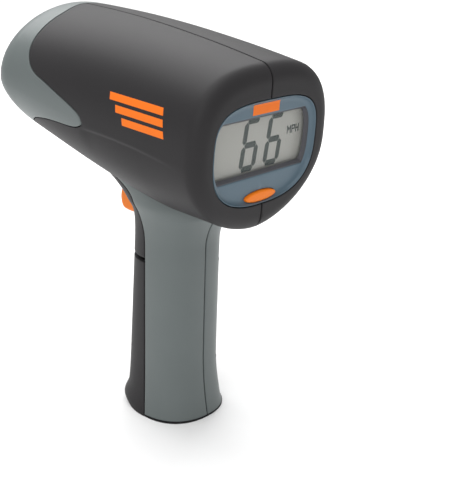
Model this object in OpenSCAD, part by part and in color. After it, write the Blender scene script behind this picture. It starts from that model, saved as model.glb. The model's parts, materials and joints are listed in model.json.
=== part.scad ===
// Handheld speed radar gun: a barrel with a horn antenna and a rear display on a grip that holds two cells.
// +X is the user's right, +Y is the beam, +Z is up, and the origin is the centre of the grip's flat base.

/* [Barrel] */
// Length of the barrel on its middle height
barrel_l = 147; // [144:1:150]
// Half width of the barrel at the rear
rear_half_w = 48.5; // [48:0.5:49]
// Half width of the barrel at the nose
nose_half_w = 52.5; // [51.5:0.5:53.5]
// Height of the barrel's top at the nose
nose_top_z = 213.7; // [212:0.1:215]
// How much lower the top is at the rear
top_drop = 14.5; // [13:0.1:15]
// Height of the barrel's underside at the rear
belly_z = 118.2; // [118:0.1:119]
// How far the underside rises towards the nose
nose_rise = 24.3; // [24:0.1:24.8]
// Wall of the barrel's halves
wall = 2.6; // [2.2:0.1:2.8]

/* [Grip] */
// Half width of the grip where the hand holds it
grip_half_w = 22; // [21.5:0.1:22.5]
// Wall of the grip's halves
grip_wall = 2.4; // [2.2:0.1:2.6]
// Height of the neck's top inside the barrel
neck_top_z = 138.5; // [138:0.1:139]

/* [Display] */
// Half width of the display bezel
bezel_half_w = 36.8; // [36.6:0.1:37]
// Height of the window
window_h = 29.4; // [29:0.1:29.4]
// Travel of the mode button
button_travel = 0.9; // [0.7:0.1:0.9]

/* [Cells] */
// Radius of one C cell
cell_r = 13.1; // [13:0.05:13.1]
// Length of one C cell with its nub
cell_l = 50; // [49.5:0.1:50]

/* [Mechanism] */
// Radius of the trigger pin
trigger_pin_r = 1.5; // [1.4:0.1:1.6]
// Radius of the battery door's hinge pin
door_pin_r = 0.6; // [0.5:0.05:0.6]
// Radial running clearance of both hinges
running = 0.05; // [0.03:0.01:0.08]

/* [Hidden] */
$fn = 48;

// Colours
dark = [0.24, 0.235, 0.24];
grey = [0.47, 0.51, 0.51];
orange = [0.93, 0.48, 0.14];
slate = [0.40, 0.46, 0.53];
glass = [0.62, 0.62, 0.58];
steel = [0.72, 0.73, 0.75];
board_green = [0.10, 0.36, 0.22];

// Barrel skin
rear_y = -63.7;
face_z = 160;
rear_lean = 3.2;
nose_lean = 6.8;
rear_round = 7.9;
rear_round_s = 7 / barrel_l;
nose_round = 15.5;
nose_round_s = 1 - nose_round / barrel_l;
nose_open = 11;
face_t = 3;
fit = 0.25;
skin_angles = [0, 12, 24, 36, 48, 58, 64.5, 69.5, 74, 77, 80, 83.5, 86, 88, 90, 92.5, 95.5, 98, 100, 102,
    105.5, 113, 124, 135, 148, 160, 170, 180];
// Rear edge of the nose ring: angle from the top towards the flank, and Y. The tongue's tip is at 92 degrees.
ring_edge = [[0, 64.5], [12, 62], [24, 59.7], [48, 58.9], [58, 57.7], [64.5, 55.5], [69.5, 52.9],
    [74, 48.2], [77, 41.2], [80, 34.4], [83.5, 25.4], [86, 18.9], [88, 14.7], [90, 12.7], [92.5, 12.2],
    [95.5, 14.4], [98, 17.8], [100, 23.6], [102, 31.7], [105.5, 41.9], [113, 54.5], [124, 64], [135, 70],
    [160, 76], [180, 77.5]];

// Grip
grip_n = 2.3;
base_t = 1.2;
seam = 0.3;
door_gap = 0.35;
door_axis = [0, 15.4, 89.6];
door_rim_r = 1.4;
strap_z = door_axis[2] + 2.3;
cell_y = -0.8;
cell_z = 10;
tray_r = cell_r + 0.3;
tray_wall = 1.4;
tray_top_z = cell_z + 2 * cell_l + 0.5;
tongue_y = 15;
foot_levels = [3.4, 5.4, 7.4, 9.4, 11.4, 13.4, 20, 30, 60];
flare_levels = [100, 106, 112, 118, 124, 130, 134.5];

// Trigger
trigger_axis = [0, 22, 130];
trigger_half_w = 8;
trigger_arm_y = 6;
spring_top_z = 136.8;
finger = [13.5, 135.2];
plunger_gap = 0.52;

// Antenna and boards
horn_z = 178.5;
horn_throat_y = 4;
horn_mouth_y = 66;
horn_throat_r = 6;
horn_mouth_r = 29;
board_z = 146;
board_t = 1.6;
board_half_w = 27.5;
board_rear_y = -43;
board_front_y = 20;
lens_d = 5.4;
lcd_d = 6.6;
display_board_d = 11.4;
window_v = 1.1;
dish_floor = 2.5;
dish = [[-3.2, dish_floor], [-2.1, 2.3], [-1.3, 1.8], [-0.85, 1], [-0.65, 0.1]];
post_x = 24;
post_vs = [-20.4, 20];
button_v = -24.2;
button_half_w = 11;
button_half_h = 2.7;
plunger_top_d = 6.4;

// Screws along X: Y, Z of each
housing_bosses = [[38, 203.4], [-36, 194.6], [-45.5, 126.4], [53, 146.6]];
grip_bosses = [[-19.2, 30], [-19.2, 88], [-25, 126]];

// ---- Rules of the surfaces ----

function mix(a, b, k) = a + (b - a) * k;
function smooth(u) = let(c = min(max(u, 0), 1)) c * c * (3 - 2 * c);
function power(v, e) = sign(v) * pow(abs(v), e);
function arc_inset(u) = 1 - sqrt(max(0, 1 - u * u));

// Inset of the skin by the rounded rear and nose edges
function edge_inset(s) = nose_round * arc_inset(max(0, (s - nose_round_s) / (1 - nose_round_s)))
    + rear_round * arc_inset(max(0, (rear_round_s - s) / rear_round_s));

// A section of the barrel at station s, inset by t: half width, top, bottom
function section(s, t) = let(i = t + edge_inset(s)) [
    mix(rear_half_w, nose_half_w, s) - i,
    nose_top_z - top_drop * pow(1 - s, 2) - i,
    belly_z + nose_rise * pow(max(0, (s - 0.26) / 0.74), 1.39) + i
];

// How square the barrel's section is above and below its middle
function exponent(s, above) = above ? 2.9 - 1.05 * s : 2.05 - 0.42 * s;

// A point of the barrel's skin: s runs from the rear to the nose, a from the top through -X to the bottom
function lean(s) = -tan(rear_lean) * max(0, 1 - 3 * s) + tan(nose_lean) * max(0, 1 - 3 * (1 - s));
function skin_point(s, a, t) =
    let(q = section(s, t), mid = (q[1] + q[2]) / 2)
    let(n = exponent(s, abs(a) <= 90))
    let(x = -q[0] * power(sin(a), 2 / n * (abs(a) <= 90 ? 1 : 1.17)))
    let(z = mid + (q[1] - q[2]) / 2 * power(cos(a), 2 / n))
    [x, rear_y + s * barrel_l + lean(s) * (z - face_z), z];

function station(y) = (y - rear_y) / barrel_l;

// Outline of the display opening in the rear face, grown by g
function face_outline(g) = [for (i = [0:47]) face_point(i * 7.5, g)];
function face_point(a, g) = let(up = cos(a) >= 0, n = up ? 3.5 : 2.6) [
    -(bezel_half_w + g) * power(sin(a), 2 / n),
    ((up ? 23.9 : 27.6) + g) * power(cos(a), 2 / n)
];
function on_rear(p, d) = [p[0], rear_y - tan(rear_lean) * p[1] + d, face_z + p[1]];

// The grip's section at height z: front Y, back Y, half width
function grip_front(z) = 23 - 0.061 * z + 3.1 * (1 - smooth((z - 3.4) / 10)) - 6 * pow(max(0, 1 - z / 5), 2)
    + 0.013 * pow(max(0, z - 108.4), 2) + 0.048 * pow(max(0, z - 115), 2);
function grip_back(z) = -25.4 - 4.6 * pow(max(0, 1 - z / 40), 2) - 0.0185 * pow(min(max(0, z - 98), 20), 2);
function grip_side(z) = grip_half_w + 3.5 * pow(max(0, 1 - z / 30), 2)
    + 0.008 * pow(min(max(0, z - 98), 24), 2);

// A point of the grip's skin: h runs from the front through -X to the back
function grip_point(z, h, t) =
    let(mid = (grip_front(z) + grip_back(z)) / 2, deep = (grip_front(z) - grip_back(z)) / 2 - t)
    [-(grip_side(z) - t) * power(sin(h), 2 / grip_n), mid + deep * power(cos(h), 2 / grip_n), z];

// Y of the line between the grey halves and the dark front, and its angle in a section
function split_y(z) = -2.2 - 3.3 * pow(max(0, 1 - z / 30), 2) + 0.012 * pow(max(0, z - 104), 2)
    + 0.11 * pow(max(0, z - 125), 2);
function split_angle(z, y, t) =
    let(mid = (grip_front(z) + grip_back(z)) / 2, deep = (grip_front(z) - grip_back(z)) / 2 - t)
    acos(power(min(0.999, (y - mid) / deep), grip_n / 2));

// ---- Shared builders ----

// A closed solid through a stack of closed loops with equal counts, each counter-clockwise seen from the last
module skin(loops) {
    m = len(loops[0]);
    last = len(loops) - 1;
    sides = [for (i = [0:last - 1], j = [0:m - 1]) let(k = (j + 1) % m) each [
        [i * m + j, (i + 1) * m + j, (i + 1) * m + k],
        [i * m + j, (i + 1) * m + k, i * m + k]
    ]];
    first_cap = [for (j = [0:m - 1]) j];
    last_cap = [for (j = [m - 1:-1:0]) last * m + j];
    polyhedron([for (l = loops) each l], concat([first_cap], sides, [last_cap]));
}

// A closed ring through a cycle of closed loops
module ring_skin(loops) {
    m = len(loops[0]);
    n = len(loops);
    polyhedron([for (l = loops) each l], [for (i = [0:n - 1], j = [0:m - 1])
        let(k = (j + 1) % m, o = (i + 1) % n) each [
        [i * m + j, o * m + j, o * m + k],
        [i * m + j, o * m + k, i * m + k]
    ]]);
}

function unit(v) = v / norm(v);

// A round tube of radius r along points, with sides sides
module tube(points, r, sides = 8) {
    last = len(points) - 1;
    skin([for (i = [0:last])
        let(t = unit(points[min(i + 1, last)] - points[max(i - 1, 0)]))
        let(side = unit(cross(abs(t[0]) > 0.8 ? [0, 0, 1] : [1, 0, 0], t)), up = cross(t, side))
        [for (j = [0:sides - 1]) points[i] + r * (side * cos(j * 360 / sides) + up * sin(j * 360 / sides))]]);
}

// A coil spring along Z from z0 to z1, with closed ends
module coil(x, y, z0, z1, r0, r1, wire_r, turns) {
    steps = round(turns * 12);
    tube([for (i = [0:steps]) let(u = i / steps, r = mix(r0, r1, u))
        [x + r * cos(u * turns * 360), y + r * sin(u * turns * 360), mix(z0 + wire_r, z1 - wire_r, u)]],
        wire_r, 6);
}

// One mesh of a shell with its ribs and openings
module meshed() resize([0, 0, 0]) children();

// A flat shape in X and height, from depth d0 to d1 along Y
module slab(d0, d1) translate([0, d1, 0]) rotate([90, 0, 0]) linear_extrude(d1 - d0) children();

// A flat shape in Y and Z, from x0 to x1
module plate_x(x0, x1) translate([x0, 0, 0]) rotate([90, 0, 90]) linear_extrude(x1 - x0) children();

module box(lo, hi) translate(lo) cube(hi - lo);

module rounded_square(size, r) {
    hull() for (x = [-1, 1], y = [-1, 1]) translate([x * (size[0] / 2 - r), y * (size[1] / 2 - r)])
        circle(r, $fn = 16);
}

module rod_x(x0, x1, y, z, r) translate([x0, y, z]) rotate([0, 90, 0]) cylinder(h = x1 - x0, r = r);

module rod_y(y0, y1, x, z, r) translate([x, y0, z]) rotate([-90, 0, 0]) cylinder(h = y1 - y0, r = r);

// The display's own frame: X, depth behind the rear face, height from the face's centre
module on_face() translate([0, rear_y, face_z]) rotate([rear_lean, 0, 0]) children();

// ---- Barrel ----

// The gap along Y that leaves an even gap across the ring's slanted edge
function edge_gap(a) =
    seam * norm([1, (lookup(min(180, a + 2), ring_edge) - lookup(max(0, a - 2), ring_edge)) / 3.6]);

function housing_loop(a) =
    let(s0 = station(lookup(a, ring_edge) - edge_gap(a)), s1 = rear_round_s)
    let(rim = face_point(a, fit), edge = skin_point(0, a, 0), rim_y = on_rear(rim, 0))
    concat(
        [for (k = [0:8]) skin_point(mix(s0, s1, k / 8), a, 0)],
        [for (q = [30, 60, 88]) skin_point(s1 * (1 - sin(q)), a, 0)],
        [mix(edge, rim_y, 0.5), rim_y, on_rear(rim, face_t)],
        [skin_point(face_t / barrel_l, a, wall + 4)],
        [for (k = [8:-1:0]) skin_point(mix(s0, s1, k / 8), a, wall)]
    );

// The space that the neck takes, grown by g
module neck_space(g) {
    skin([for (z = concat(flare_levels, neck_top_z + 2)) [for (i = [0:47]) grip_point(z, i * 7.5, -g)]]);
}

// A cross rib behind the horn's wall at y, with the horn's hole
module horn_rib(y, hole_r) {
    s = station(y);
    outline = [for (a = skin_angles)
        let(p = skin_point(s, a, abs(a - 91) < 14 ? wall + 0.4 : wall - 0.6)) [p[0], p[2]]];
    translate([0, y, 0]) slab(-1, 1) difference() {
        polygon(outline);
        translate([0, horn_z]) circle(hole_r);
        translate([-60, belly_z]) square([60, board_z + 8 - belly_z]);
    }
}

module housing_half() {
    difference() {
        union() {
            skin([for (i = [len(skin_angles) - 1:-1:0]) housing_loop(skin_angles[i])]);
            for (b = housing_bosses) rod_x(-reach_x(b), 0, b[0], b[1], 3.2, $fn = 20);
            horn_rib(30, horn_r(30) + 2.2);
            for (z = [board_z - 1.9, board_z + board_t + 0.3])
                box([-43.2, board_rear_y, z], [-board_half_w + 3, 2, z + 1.6]);
        }
        neck_space(fit + 0.1);
        for (b = housing_bosses) rod_x(-9, 1, b[0], b[1], 1.45, $fn = 20);
    }
}

// How far a boss reaches towards the flank so that it ends inside the wall
function reach_x(b) =
    let(q = section(station(b[0]), wall / 2), mid = (q[1] + q[2]) / 2, half = (q[1] - q[2]) / 2)
    let(n = exponent(station(b[0]), b[1] > mid))
    let(over = (abs(b[1] - mid) + 3.2) / half)
    q[0] * pow(1 - pow(over, n), 1 / n);

// Outer radius of the horn at y
function horn_r(y) =
    mix(horn_throat_r, horn_mouth_r, (y - horn_throat_y) / (horn_mouth_y - horn_throat_y)) + 1.6;

module left_housing() color(dark) meshed() housing_half();

module right_housing() color(dark) meshed() difference() {
    mirror([1, 0, 0]) housing_half();
    for (b = housing_bosses) {
        rod_x(-1, 70, b[0], b[1], 1.7, $fn = 20);
        rod_x(8, 70, b[0], b[1], 2.6, $fn = 20);
    }
}

function ring_loop(a) =
    let(b = abs(a), s0 = station(lookup(b, ring_edge)), s1 = max(s0 + 0.008, nose_round_s))
    let(u1 = (s1 - nose_round_s) / (1 - nose_round_s), q1 = asin(min(1, u1)))
    let(q2 = acos(1 - nose_open / nose_round))
    let(outer = concat(
        [for (k = [0:3]) [mix(s0, s1, k / 4), 0]],
        [for (k = [0:6]) [mix(nose_round_s, 1, sin(mix(q1, q2, k / 6))), 0]]))
    concat(
        [for (p = outer) skin_point(p[0], a, 0)],
        [for (i = [len(outer) - 1:-1:0]) skin_point(outer[i][0] - 0.012 * i / 10, a, wall)]
    );

module nose_ring() color(grey) ring_skin([for (a = ring_angles) ring_loop(a)]);

ring_angles = concat(skin_angles, [for (i = [len(skin_angles) - 2:-1:1]) -skin_angles[i]]);

// A point inside the nose opening: f is 1 on its edge and 0 at its centre, and back is behind the edge
function nose_point(f, a, back) =
    let(q2 = acos(1 - nose_open / nose_round), s = mix(nose_round_s, 1, sin(q2)))
    let(rim = skin_point(s, a, 0.35), centre = [0, rim[1] + lean(s) * (horn_z - rim[2]), horn_z])
    let(p = mix(centre, rim, f))
    [p[0], p[1] + 2.6 * (1 - f * f) - 0.6 - back, p[2]];

module nose_cover() color(dark) skin(concat(
    [for (f = [0.04, 0.35, 0.65, 0.88]) [for (i = [0:35]) nose_point(f, -i * 10, 2.2)]],
    [for (b = [6, 0]) [for (i = [0:35]) nose_point(b == 6 ? 0.93 : 1, -i * 10, b)]],
    [for (f = [0.9, 0.65, 0.35, 0.04]) [for (i = [0:35]) nose_point(f, -i * 10, 0)]]
));

module nose_seal() color([0.15, 0.15, 0.15]) {
    ring_skin([for (i = [0:35]) [
        for (q = [[0.86, 2.25], [0.86, 5.2], [0.78, 5.2], [0.78, 2.25]]) nose_point(q[0], -i * 10, q[1])
    ]]);
}

// ---- Radar ----

module horn_antenna() color([0.78, 0.76, 0.68]) difference() {
    translate([0, 0, horn_z]) rotate([-90, 0, 0]) rotate_extrude() polygon([
        [horn_throat_r, horn_throat_y],
        [horn_mouth_r, horn_mouth_y],
        [horn_mouth_r + 2.4, horn_mouth_y],
        [horn_mouth_r + 2.4, horn_mouth_y - 2],
        [horn_mouth_r + 0.9, horn_mouth_y - 2],
        [horn_throat_r + 1.6, horn_throat_y + 2.5],
        [horn_throat_r + 9, horn_throat_y + 2.5],
        [horn_throat_r + 9, horn_throat_y]
    ]);
    flange_screws() rod_y(-1, 8, 0, 0, 1.35);
}

// The four places of the screws that hold the horn on the transceiver
module flange_screws() for (x = [-1, 1], z = [-1, 1])
    translate([x * 8.6, horn_throat_y, horn_z + z * 8.6]) children();

module transceiver() color([0.80, 0.66, 0.36]) {
    difference() {
        union() {
            box([-14, horn_throat_y - 9, horn_z - 12], [14, horn_throat_y, horn_z + 12]);
            box([-9, horn_throat_y - 26, horn_z - 7], [9, horn_throat_y - 9, horn_z + 7]);
            for (y = [-9, -16]) translate([0, horn_throat_y + y + 1, horn_z + 6.5])
                cylinder(h = 5, r = 3);
        }
        rod_y(horn_throat_y - 22, horn_throat_y + 1, 0, horn_z, horn_throat_r);
        flange_screws() rod_y(-7, 1, 0, 0, 1.3);
    }
}

module transceiver_screws() color(steel) flange_screws() {
    rod_y(-6, 3, 0, 0, 1.25);
    rod_y(2.5, 4, 0, 0, 2.2);
}

module main_board() color(board_green) difference() {
    translate([0, 0, board_z]) linear_extrude(board_t) difference() {
        translate([0, (board_rear_y + board_front_y) / 2])
            square([2 * board_half_w, board_front_y - board_rear_y], center = true);
        for (x = [-1, 1]) translate([x * (board_half_w - 3), board_front_y - 3]) circle(1.6);
    }
}

module main_chips() color([0.12, 0.12, 0.13]) {
    top = board_z + board_t;
    box([-8, -24, top], [8, -8, top + 2]);
    box([-22, -30, top], [-13, -18, top + 1.6]);
    box([13, -16, top], [22, -10, top + 1.6]);
    for (i = [0:3]) box([-24 + 5 * i, 6, top], [-21 + 5 * i, 8, top + 1]);
    for (x = [14, 21]) translate([x, 6, top]) cylinder(h = 7, r = 2.6);
    box([-7, -34, top], [7, -31, top + 3]);
}

// ---- Display ----

// The window's shape, grown by g
module window_shape(g) intersection() {
    polygon(face_outline(g - 2));
    translate([0, window_v]) square([90, window_h + 2 * g], center = true);
}

module display_bezel() color(slate) on_face() meshed() difference() {
    union() {
        slab(0.1, 3.2) polygon(face_outline(-0.15));
        slab(face_t + 0.1, 4.7) polygon(face_outline(2));
        slab(4.6, 8.6) window_shape(2);
        for (x = [-1, 1], v = post_vs) rod_y(4.6, display_board_d, x * post_x, v, 2.4, $fn = 24);
    }
    skin([for (p = concat(dish, [[-0.65, -1]])) [for (q = face_outline(p[0])) [q[0], p[1], q[1]]]]);
    slab(1, 9) window_shape(0);
    slab(lens_d, 9) window_shape(0.6);
    slab(-1, 9) button_outline(0.25);
    for (x = [-1, 1], v = post_vs) rod_y(6.5, 12, x * post_x, v, 0.95, $fn = 16);
}

module button_outline(g) translate([0, button_v])
    scale([(button_half_w + g) / 10, (button_half_h + g) / 10]) circle(10, $fn = 40);

module window() color([0.8, 0.85, 0.88, 0.4]) on_face() slab(lens_d + 0.05, lens_d + 1.05) window_shape(0.5);

module lcd_panel() color(glass) on_face() {
    slab(lcd_d, lcd_d + 1.2) window_shape(0.4);
    slab(lcd_d + 1.2, lcd_d + 2.4) window_shape(0.5);
}

// Slanted seven-segment digit 6 with its lower left corner at p
module digit(p) {
    w = 11;
    h = 26.3;
    t = 2.5;
    slant = 0.12;
    multmatrix([[1, slant, 0, p[0]], [0, 1, 0, p[1]], [0, 0, 1, 0]]) {
        for (v = [0, 0.5, 1]) translate([w / 2, v * (h - t) + t / 2])
            polygon([[-w / 2 + 1.9, -t / 2], [w / 2 - 1.9, -t / 2], [w / 2 - 1.1, 0], [w / 2 - 1.9, t / 2],
                [-w / 2 + 1.9, t / 2], [-w / 2 + 1.1, 0]]);
        for (u = [[0, 0], [w - t, 0], [0, 0.5]]) translate([u[0] + t / 2, u[1] * (h - t) + t / 2])
            polygon([[-t / 2, 1.5], [0, 0.7], [t / 2, 1.5], [t / 2, h / 2 - t], [0, h / 2 - t + 0.5],
                [-t / 2, h / 2 - t]]);
    }
}

module lcd_segments() color([0.22, 0.26, 0.22]) on_face() slab(lcd_d - 0.12, lcd_d) {
    digit([-11, -11.8]);
    digit([6.3, -11.8]);
    for (i = [0:2]) translate([21.6 + 3.3 * i, 2.6]) square([2.6, 3.4]);
}

module lcd_frame() color([0.86, 0.86, 0.84]) on_face() difference() {
    slab(lcd_d + 2.5, display_board_d - 0.1) window_shape(1);
    slab(lcd_d + 2, display_board_d + 1) window_shape(-3.6);
    for (v = [-1, 1]) translate([0, 0, window_v + v * 12.9])
        slab(lcd_d + 2, display_board_d + 1) square([56.6, 2.4], center = true);
}

module connector_strips() color([0.55, 0.55, 0.57]) on_face() for (v = [-1, 1])
    translate([0, 0, window_v + v * 12.9]) slab(lcd_d + 2.4, display_board_d) square([56, 2], center = true);

module display_board() color(board_green) on_face() difference() {
    slab(display_board_d, display_board_d + board_t)
        polygon([[-34, -10], [-22, -29], [22, -29], [34, -10], [34, 15], [27, 22.6], [-27, 22.6], [-34, 15]]);
    for (x = [-1, 1], v = post_vs) rod_y(display_board_d - 1, display_board_d + 3, x * post_x, v, 1.2);
}

module display_chips() color([0.12, 0.12, 0.13]) on_face() {
    back = display_board_d + board_t;
    box([-6, back, -6], [6, back + 1.4, 6]);
    box([12, back, -4], [18, back + 1.2, 2]);
    for (i = [0:4]) box([-24 + 3.4 * i, back, 11], [-22 + 3.4 * i, back + 0.9, 12.2]);
    box([-8, back, -19], [8, back + 3, -15]);
}

module display_screws() color(steel) on_face()
    for (x = [-1, 1], v = post_vs) {
        rod_y(7, display_board_d + board_t + 0.05, x * post_x, v, 0.9);
        rod_y(display_board_d + board_t, display_board_d + board_t + 1.3, x * post_x, v, 1.8);
    }

module mode_button() color(orange) on_face() {
    slab(0.9, 5) button_outline(0);
    slab(4.9, 5.5) button_outline(1.1);
    rod_y(5.4, plunger_top_d - 0.35, 0, button_v, 1.6);
}

module button_switch() color([0.2, 0.2, 0.21]) on_face() difference() {
    translate([0, 0, button_v]) slab(7.8, display_board_d) square([6.2, 6.2], center = true);
    rod_y(7, 9.4, 0, button_v, 1.75 + running);
}

module button_plunger() color([0.9, 0.88, 0.8]) on_face()
    rod_y(plunger_top_d, 8.6, 0, button_v, 1.75);

// ---- Grip ----

function grip_loop(z, side) =
    let(h0 = split_angle(z, split_y(z) - seam / 2, 0), h1 = split_angle(z, split_y(z) - seam / 2, grip_wall))
    concat(
        [for (k = [0:14]) grip_point(z, mix(h0, 180, k / 14), 0)],
        [for (k = [14:-1:0]) grip_point(z, mix(h1, 180, k / 14), grip_wall)]
    );

module grip_half() {
    difference() {
        union() {
            skin([for (z = concat(base_t, foot_levels, strap_z, flare_levels, neck_top_z)) grip_loop(z)]);
            for (b = grip_bosses) rod_x(-grip_reach(b), 0, b[0], b[1], 3, $fn = 20);
            box([-25.4, 2, spring_top_z], [0, 10, neck_top_z]);
        }
        for (b = grip_bosses) rod_x(-8, 1, b[0], b[1], 1.45, $fn = 20);
    }
}

// How far a grip boss reaches towards the side so that it ends inside the wall
function grip_reach(b) =
    let(z = b[1], mid = (grip_front(z) + grip_back(z)) / 2, deep = (grip_front(z) - grip_back(z)) / 2)
    let(over = (abs(b[0] - mid) + 3) / (deep - grip_wall / 2))
    (grip_side(z - 3) - grip_wall / 2) * pow(1 - pow(over, grip_n), 1 / grip_n);

module left_grip() color(grey) meshed() grip_half();

module right_grip() color(grey) meshed() difference() {
    mirror([1, 0, 0]) grip_half();
    for (b = grip_bosses) {
        rod_x(-1, 40, b[0], b[1], 1.7, $fn = 20);
        rod_x(8, 40, b[0], b[1], 2.6, $fn = 20);
    }
}

module base_outline(t) {
    h0 = split_angle(0, split_y(0) - seam / 2, t);
    polygon([for (k = [0:24]) let(p = grip_point(0, mix(h0, 360 - h0, k / 24), t)) [p[0], p[1]]]);
}

module base_plate() color(dark) {
    linear_extrude(base_t) {
        base_outline(0.4);
        translate([-14, -9]) square([28, tongue_y + 9]);
    }
    translate([0, 0, base_t]) linear_extrude(1.8) difference() {
        base_outline(grip_wall + 1.6);
        base_outline(grip_wall + 3);
        translate([-30, -11]) square([60, 14]);
    }
}

function door_loop(z) =
    let(h0 = split_angle(z, split_y(z) + door_gap, 0), h1 = split_angle(z, split_y(z) + door_gap, grip_wall))
    concat(
        [for (k = [0:14]) grip_point(z, mix(-h0, h0, k / 14), 0)],
        [for (k = [14:-1:0]) grip_point(z, mix(-h1, h1, k / 14), grip_wall)]
    );

module door_shell() difference() {
    union() {
        skin([for (z = concat(0, 1, 2.1, foot_levels, door_axis[2])) door_loop(z)]);
        linear_extrude(1.6) intersection() {
            polygon([for (k = [0:28]) let(p = grip_point(0, mix(-88, 88, k / 28), 0.8)) [p[0], p[1]]]);
            translate([-30, split_y(0) + door_gap]) square([60, 40]);
        }
        for (i = [0:2]) rod_x(-6, 6, grip_front(8 + 2.6 * i) + 0.2, 8 + 2.6 * i, 0.7, $fn = 16);
    }
    box([-14.5, -9, -1], [14.5, tongue_y + 0.5, 3]);
    box([-5.6, 0, door_axis[2] - 1.6], [5.6, door_axis[1] + 1.5, door_axis[2] + 1]);
}

// The moulded hook that snaps over the base plate's tongue
module door_hook() translate([0, tongue_y, base_t]) plate_x(-5, 5)
    polygon([[-2, 0.5], [0.7, 0.5], [0.7, -0.5], [2.8, -0.5], [2.8, 2.1], [-2, 2.1]]);

module battery_door() color(dark) {
    meshed() {
        door_shell();
        door_hook();
    }
    difference() {
        union() {
            rod_x(-2.4, 2.4, door_axis[1], door_axis[2], door_rim_r);
            box([-2.4, door_axis[1] - door_rim_r, door_axis[2] - 4], [2.4, door_axis[1] + 1, door_axis[2]]);
        }
        rod_x(-9, 9, door_axis[1], door_axis[2], door_pin_r + running);
    }
}

module door_pin() color(steel) rod_x(-4.9, 4.9, door_axis[1], door_axis[2], door_pin_r);

module front_strap() color(dark) {
    meshed() difference() {
        skin([for (z = concat(strap_z, flare_levels, 137)) strap_loop(z)]);
        box([-trigger_half_w - 0.5, 8, 105], [trigger_half_w + 0.5, 60, 131.6]);
    }
    for (m = [0, 1]) mirror([m, 0, 0]) {
        difference() {
            plate_x(9.2, 12.8) polygon([[18, 126.4], [22.6, 126.2], [24.6, 127.8], [27.4, 129.6], [30, 131.5],
                [30, 134.4], [18, 134.4]]);
            rod_x(0, 20, trigger_axis[1], trigger_axis[2], trigger_pin_r + 0.01);
        }
        difference() {
            union() {
                rod_x(2.75, 5.2, door_axis[1], door_axis[2], 1.3);
                box([2.75, door_axis[1] - 1.3, door_axis[2]], [5.2, door_axis[1] + 0.5, strap_z + 1.5]);
            }
            rod_x(0, 9, door_axis[1], door_axis[2], door_pin_r + 0.01);
        }
    }
}

function strap_loop(z) =
    let(h0 = split_angle(z, split_y(z) + seam / 2, 0), h1 = split_angle(z, split_y(z) + seam / 2, grip_wall))
    concat(
        [for (k = [0:14]) grip_point(z, mix(-h0, h0, k / 14), 0)],
        [for (k = [14:-1:0]) grip_point(z, mix(-h1, h1, k / 14), grip_wall)]
    );

// ---- Trigger ----

module trigger() color(orange) difference() {
    union() {
        plate_x(-trigger_half_w, trigger_half_w) polygon([
            [24, 130.4], [28, 125.6], [31.8, 120.6], [33.2, 115.5], [32.6, 111], [31, 108.5], [28.4, 107.6],
            [24.4, 107.8], [22.6, 109.6], [20.6, 114], [19, 120], [18.2, 128]
        ]);
        rod_x(-trigger_half_w, trigger_half_w, trigger_axis[1], trigger_axis[2], 4);
        plate_x(-3, 3) polygon([
            [22, 133], [finger[0] + 1, 131], [finger[0] + 1, finger[1]], [finger[0] - 1, finger[1]],
            [finger[0] - 1, 130.6], [trigger_arm_y + 3.2, 129], [trigger_arm_y - 3, 129],
            [trigger_arm_y - 3, 126.4], [20, 126.4]
        ]);
        rod_x(-3, 3, finger[0], finger[1], 1);
    }
    rod_x(-20, 20, trigger_axis[1], trigger_axis[2], trigger_pin_r + running);
}

module trigger_pin() color(steel) rod_x(-13, 13, trigger_axis[1], trigger_axis[2], trigger_pin_r);

module trigger_spring() color(steel) coil(0, trigger_arm_y, 129.1, spring_top_z, 2.2, 2.2, 0.35, 4.5);

module trigger_switch() color([0.16, 0.16, 0.17]) difference() {
    box([-6, 10.3, 139.8], [6, 16.9, board_z]);
    translate([0, finger[0], 139]) cylinder(h = 3, r = 1.5 + running);
}

module trigger_plunger() color([0.9, 0.88, 0.8])
    translate([0, finger[0], finger[1] + 1 + plunger_gap]) cylinder(h = 4.3, r = 1.5);

// ---- Battery ----

module battery_tray() color([0.16, 0.16, 0.17]) translate([0, cell_y, 0]) {
    difference() {
        translate([0, 0, 4]) cylinder(h = tray_top_z + 1.5 - 4, r = tray_r + tray_wall);
        translate([0, 0, 5.4]) cylinder(h = tray_top_z - 5.4, r = tray_r);
        box([-20, 0, 5.4], [20, 20, tray_top_z]);
        box([-20, 10.6, 3], [20, 20, 6]);
        box([-20, 9, 60], [20, 20, tray_top_z + 2]);
        box([-1.8, -6.4, tray_top_z - 1], [1.8, -5.1, tray_top_z + 4]);
    }
}

module cells() color([0.75, 0.6, 0.3]) for (i = [0, 1]) translate([0, cell_y, cell_z + i * cell_l]) {
    cylinder(h = cell_l - 2, r = cell_r);
    translate([0, 0, cell_l - 2.1]) cylinder(h = 2.05, r = 3);
}

module contact_spring() color(steel) coil(0, cell_y, 5.4, cell_z, 7, 3, 0.4, 3);

module contact_plate() color(steel) translate([0, cell_y, 0]) {
    translate([-6, -6, cell_z + 2 * cell_l]) cube([12, 12, 0.5]);
    translate([-1.5, -6, cell_z + 2 * cell_l]) cube([3, 0.5, 6]);
}

module positive_lead() color([0.7, 0.1, 0.08])
    tube([[0, -5.57, 113.5], [0, -5.57, 117.2], [1, -7.6, 120.6], [2.2, -10.4, 124], [4, -12.4, 129],
        [6.4, -13.2, 137], [7, -13.2, board_z - 0.05]], 0.7);

module negative_lead() color([0.08, 0.08, 0.08])
    tube([[0, -4, 3.2], [4, -8, 3.2], [10, -11.6, 3.2], [12.4, -12.4, 6], [12.4, -12.4, 60],
        [12.4, -12.4, 108], [12.4, -13.4, 120], [12.3, -15, 134], [12, -16, board_z - 0.05]], 0.7);

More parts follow.
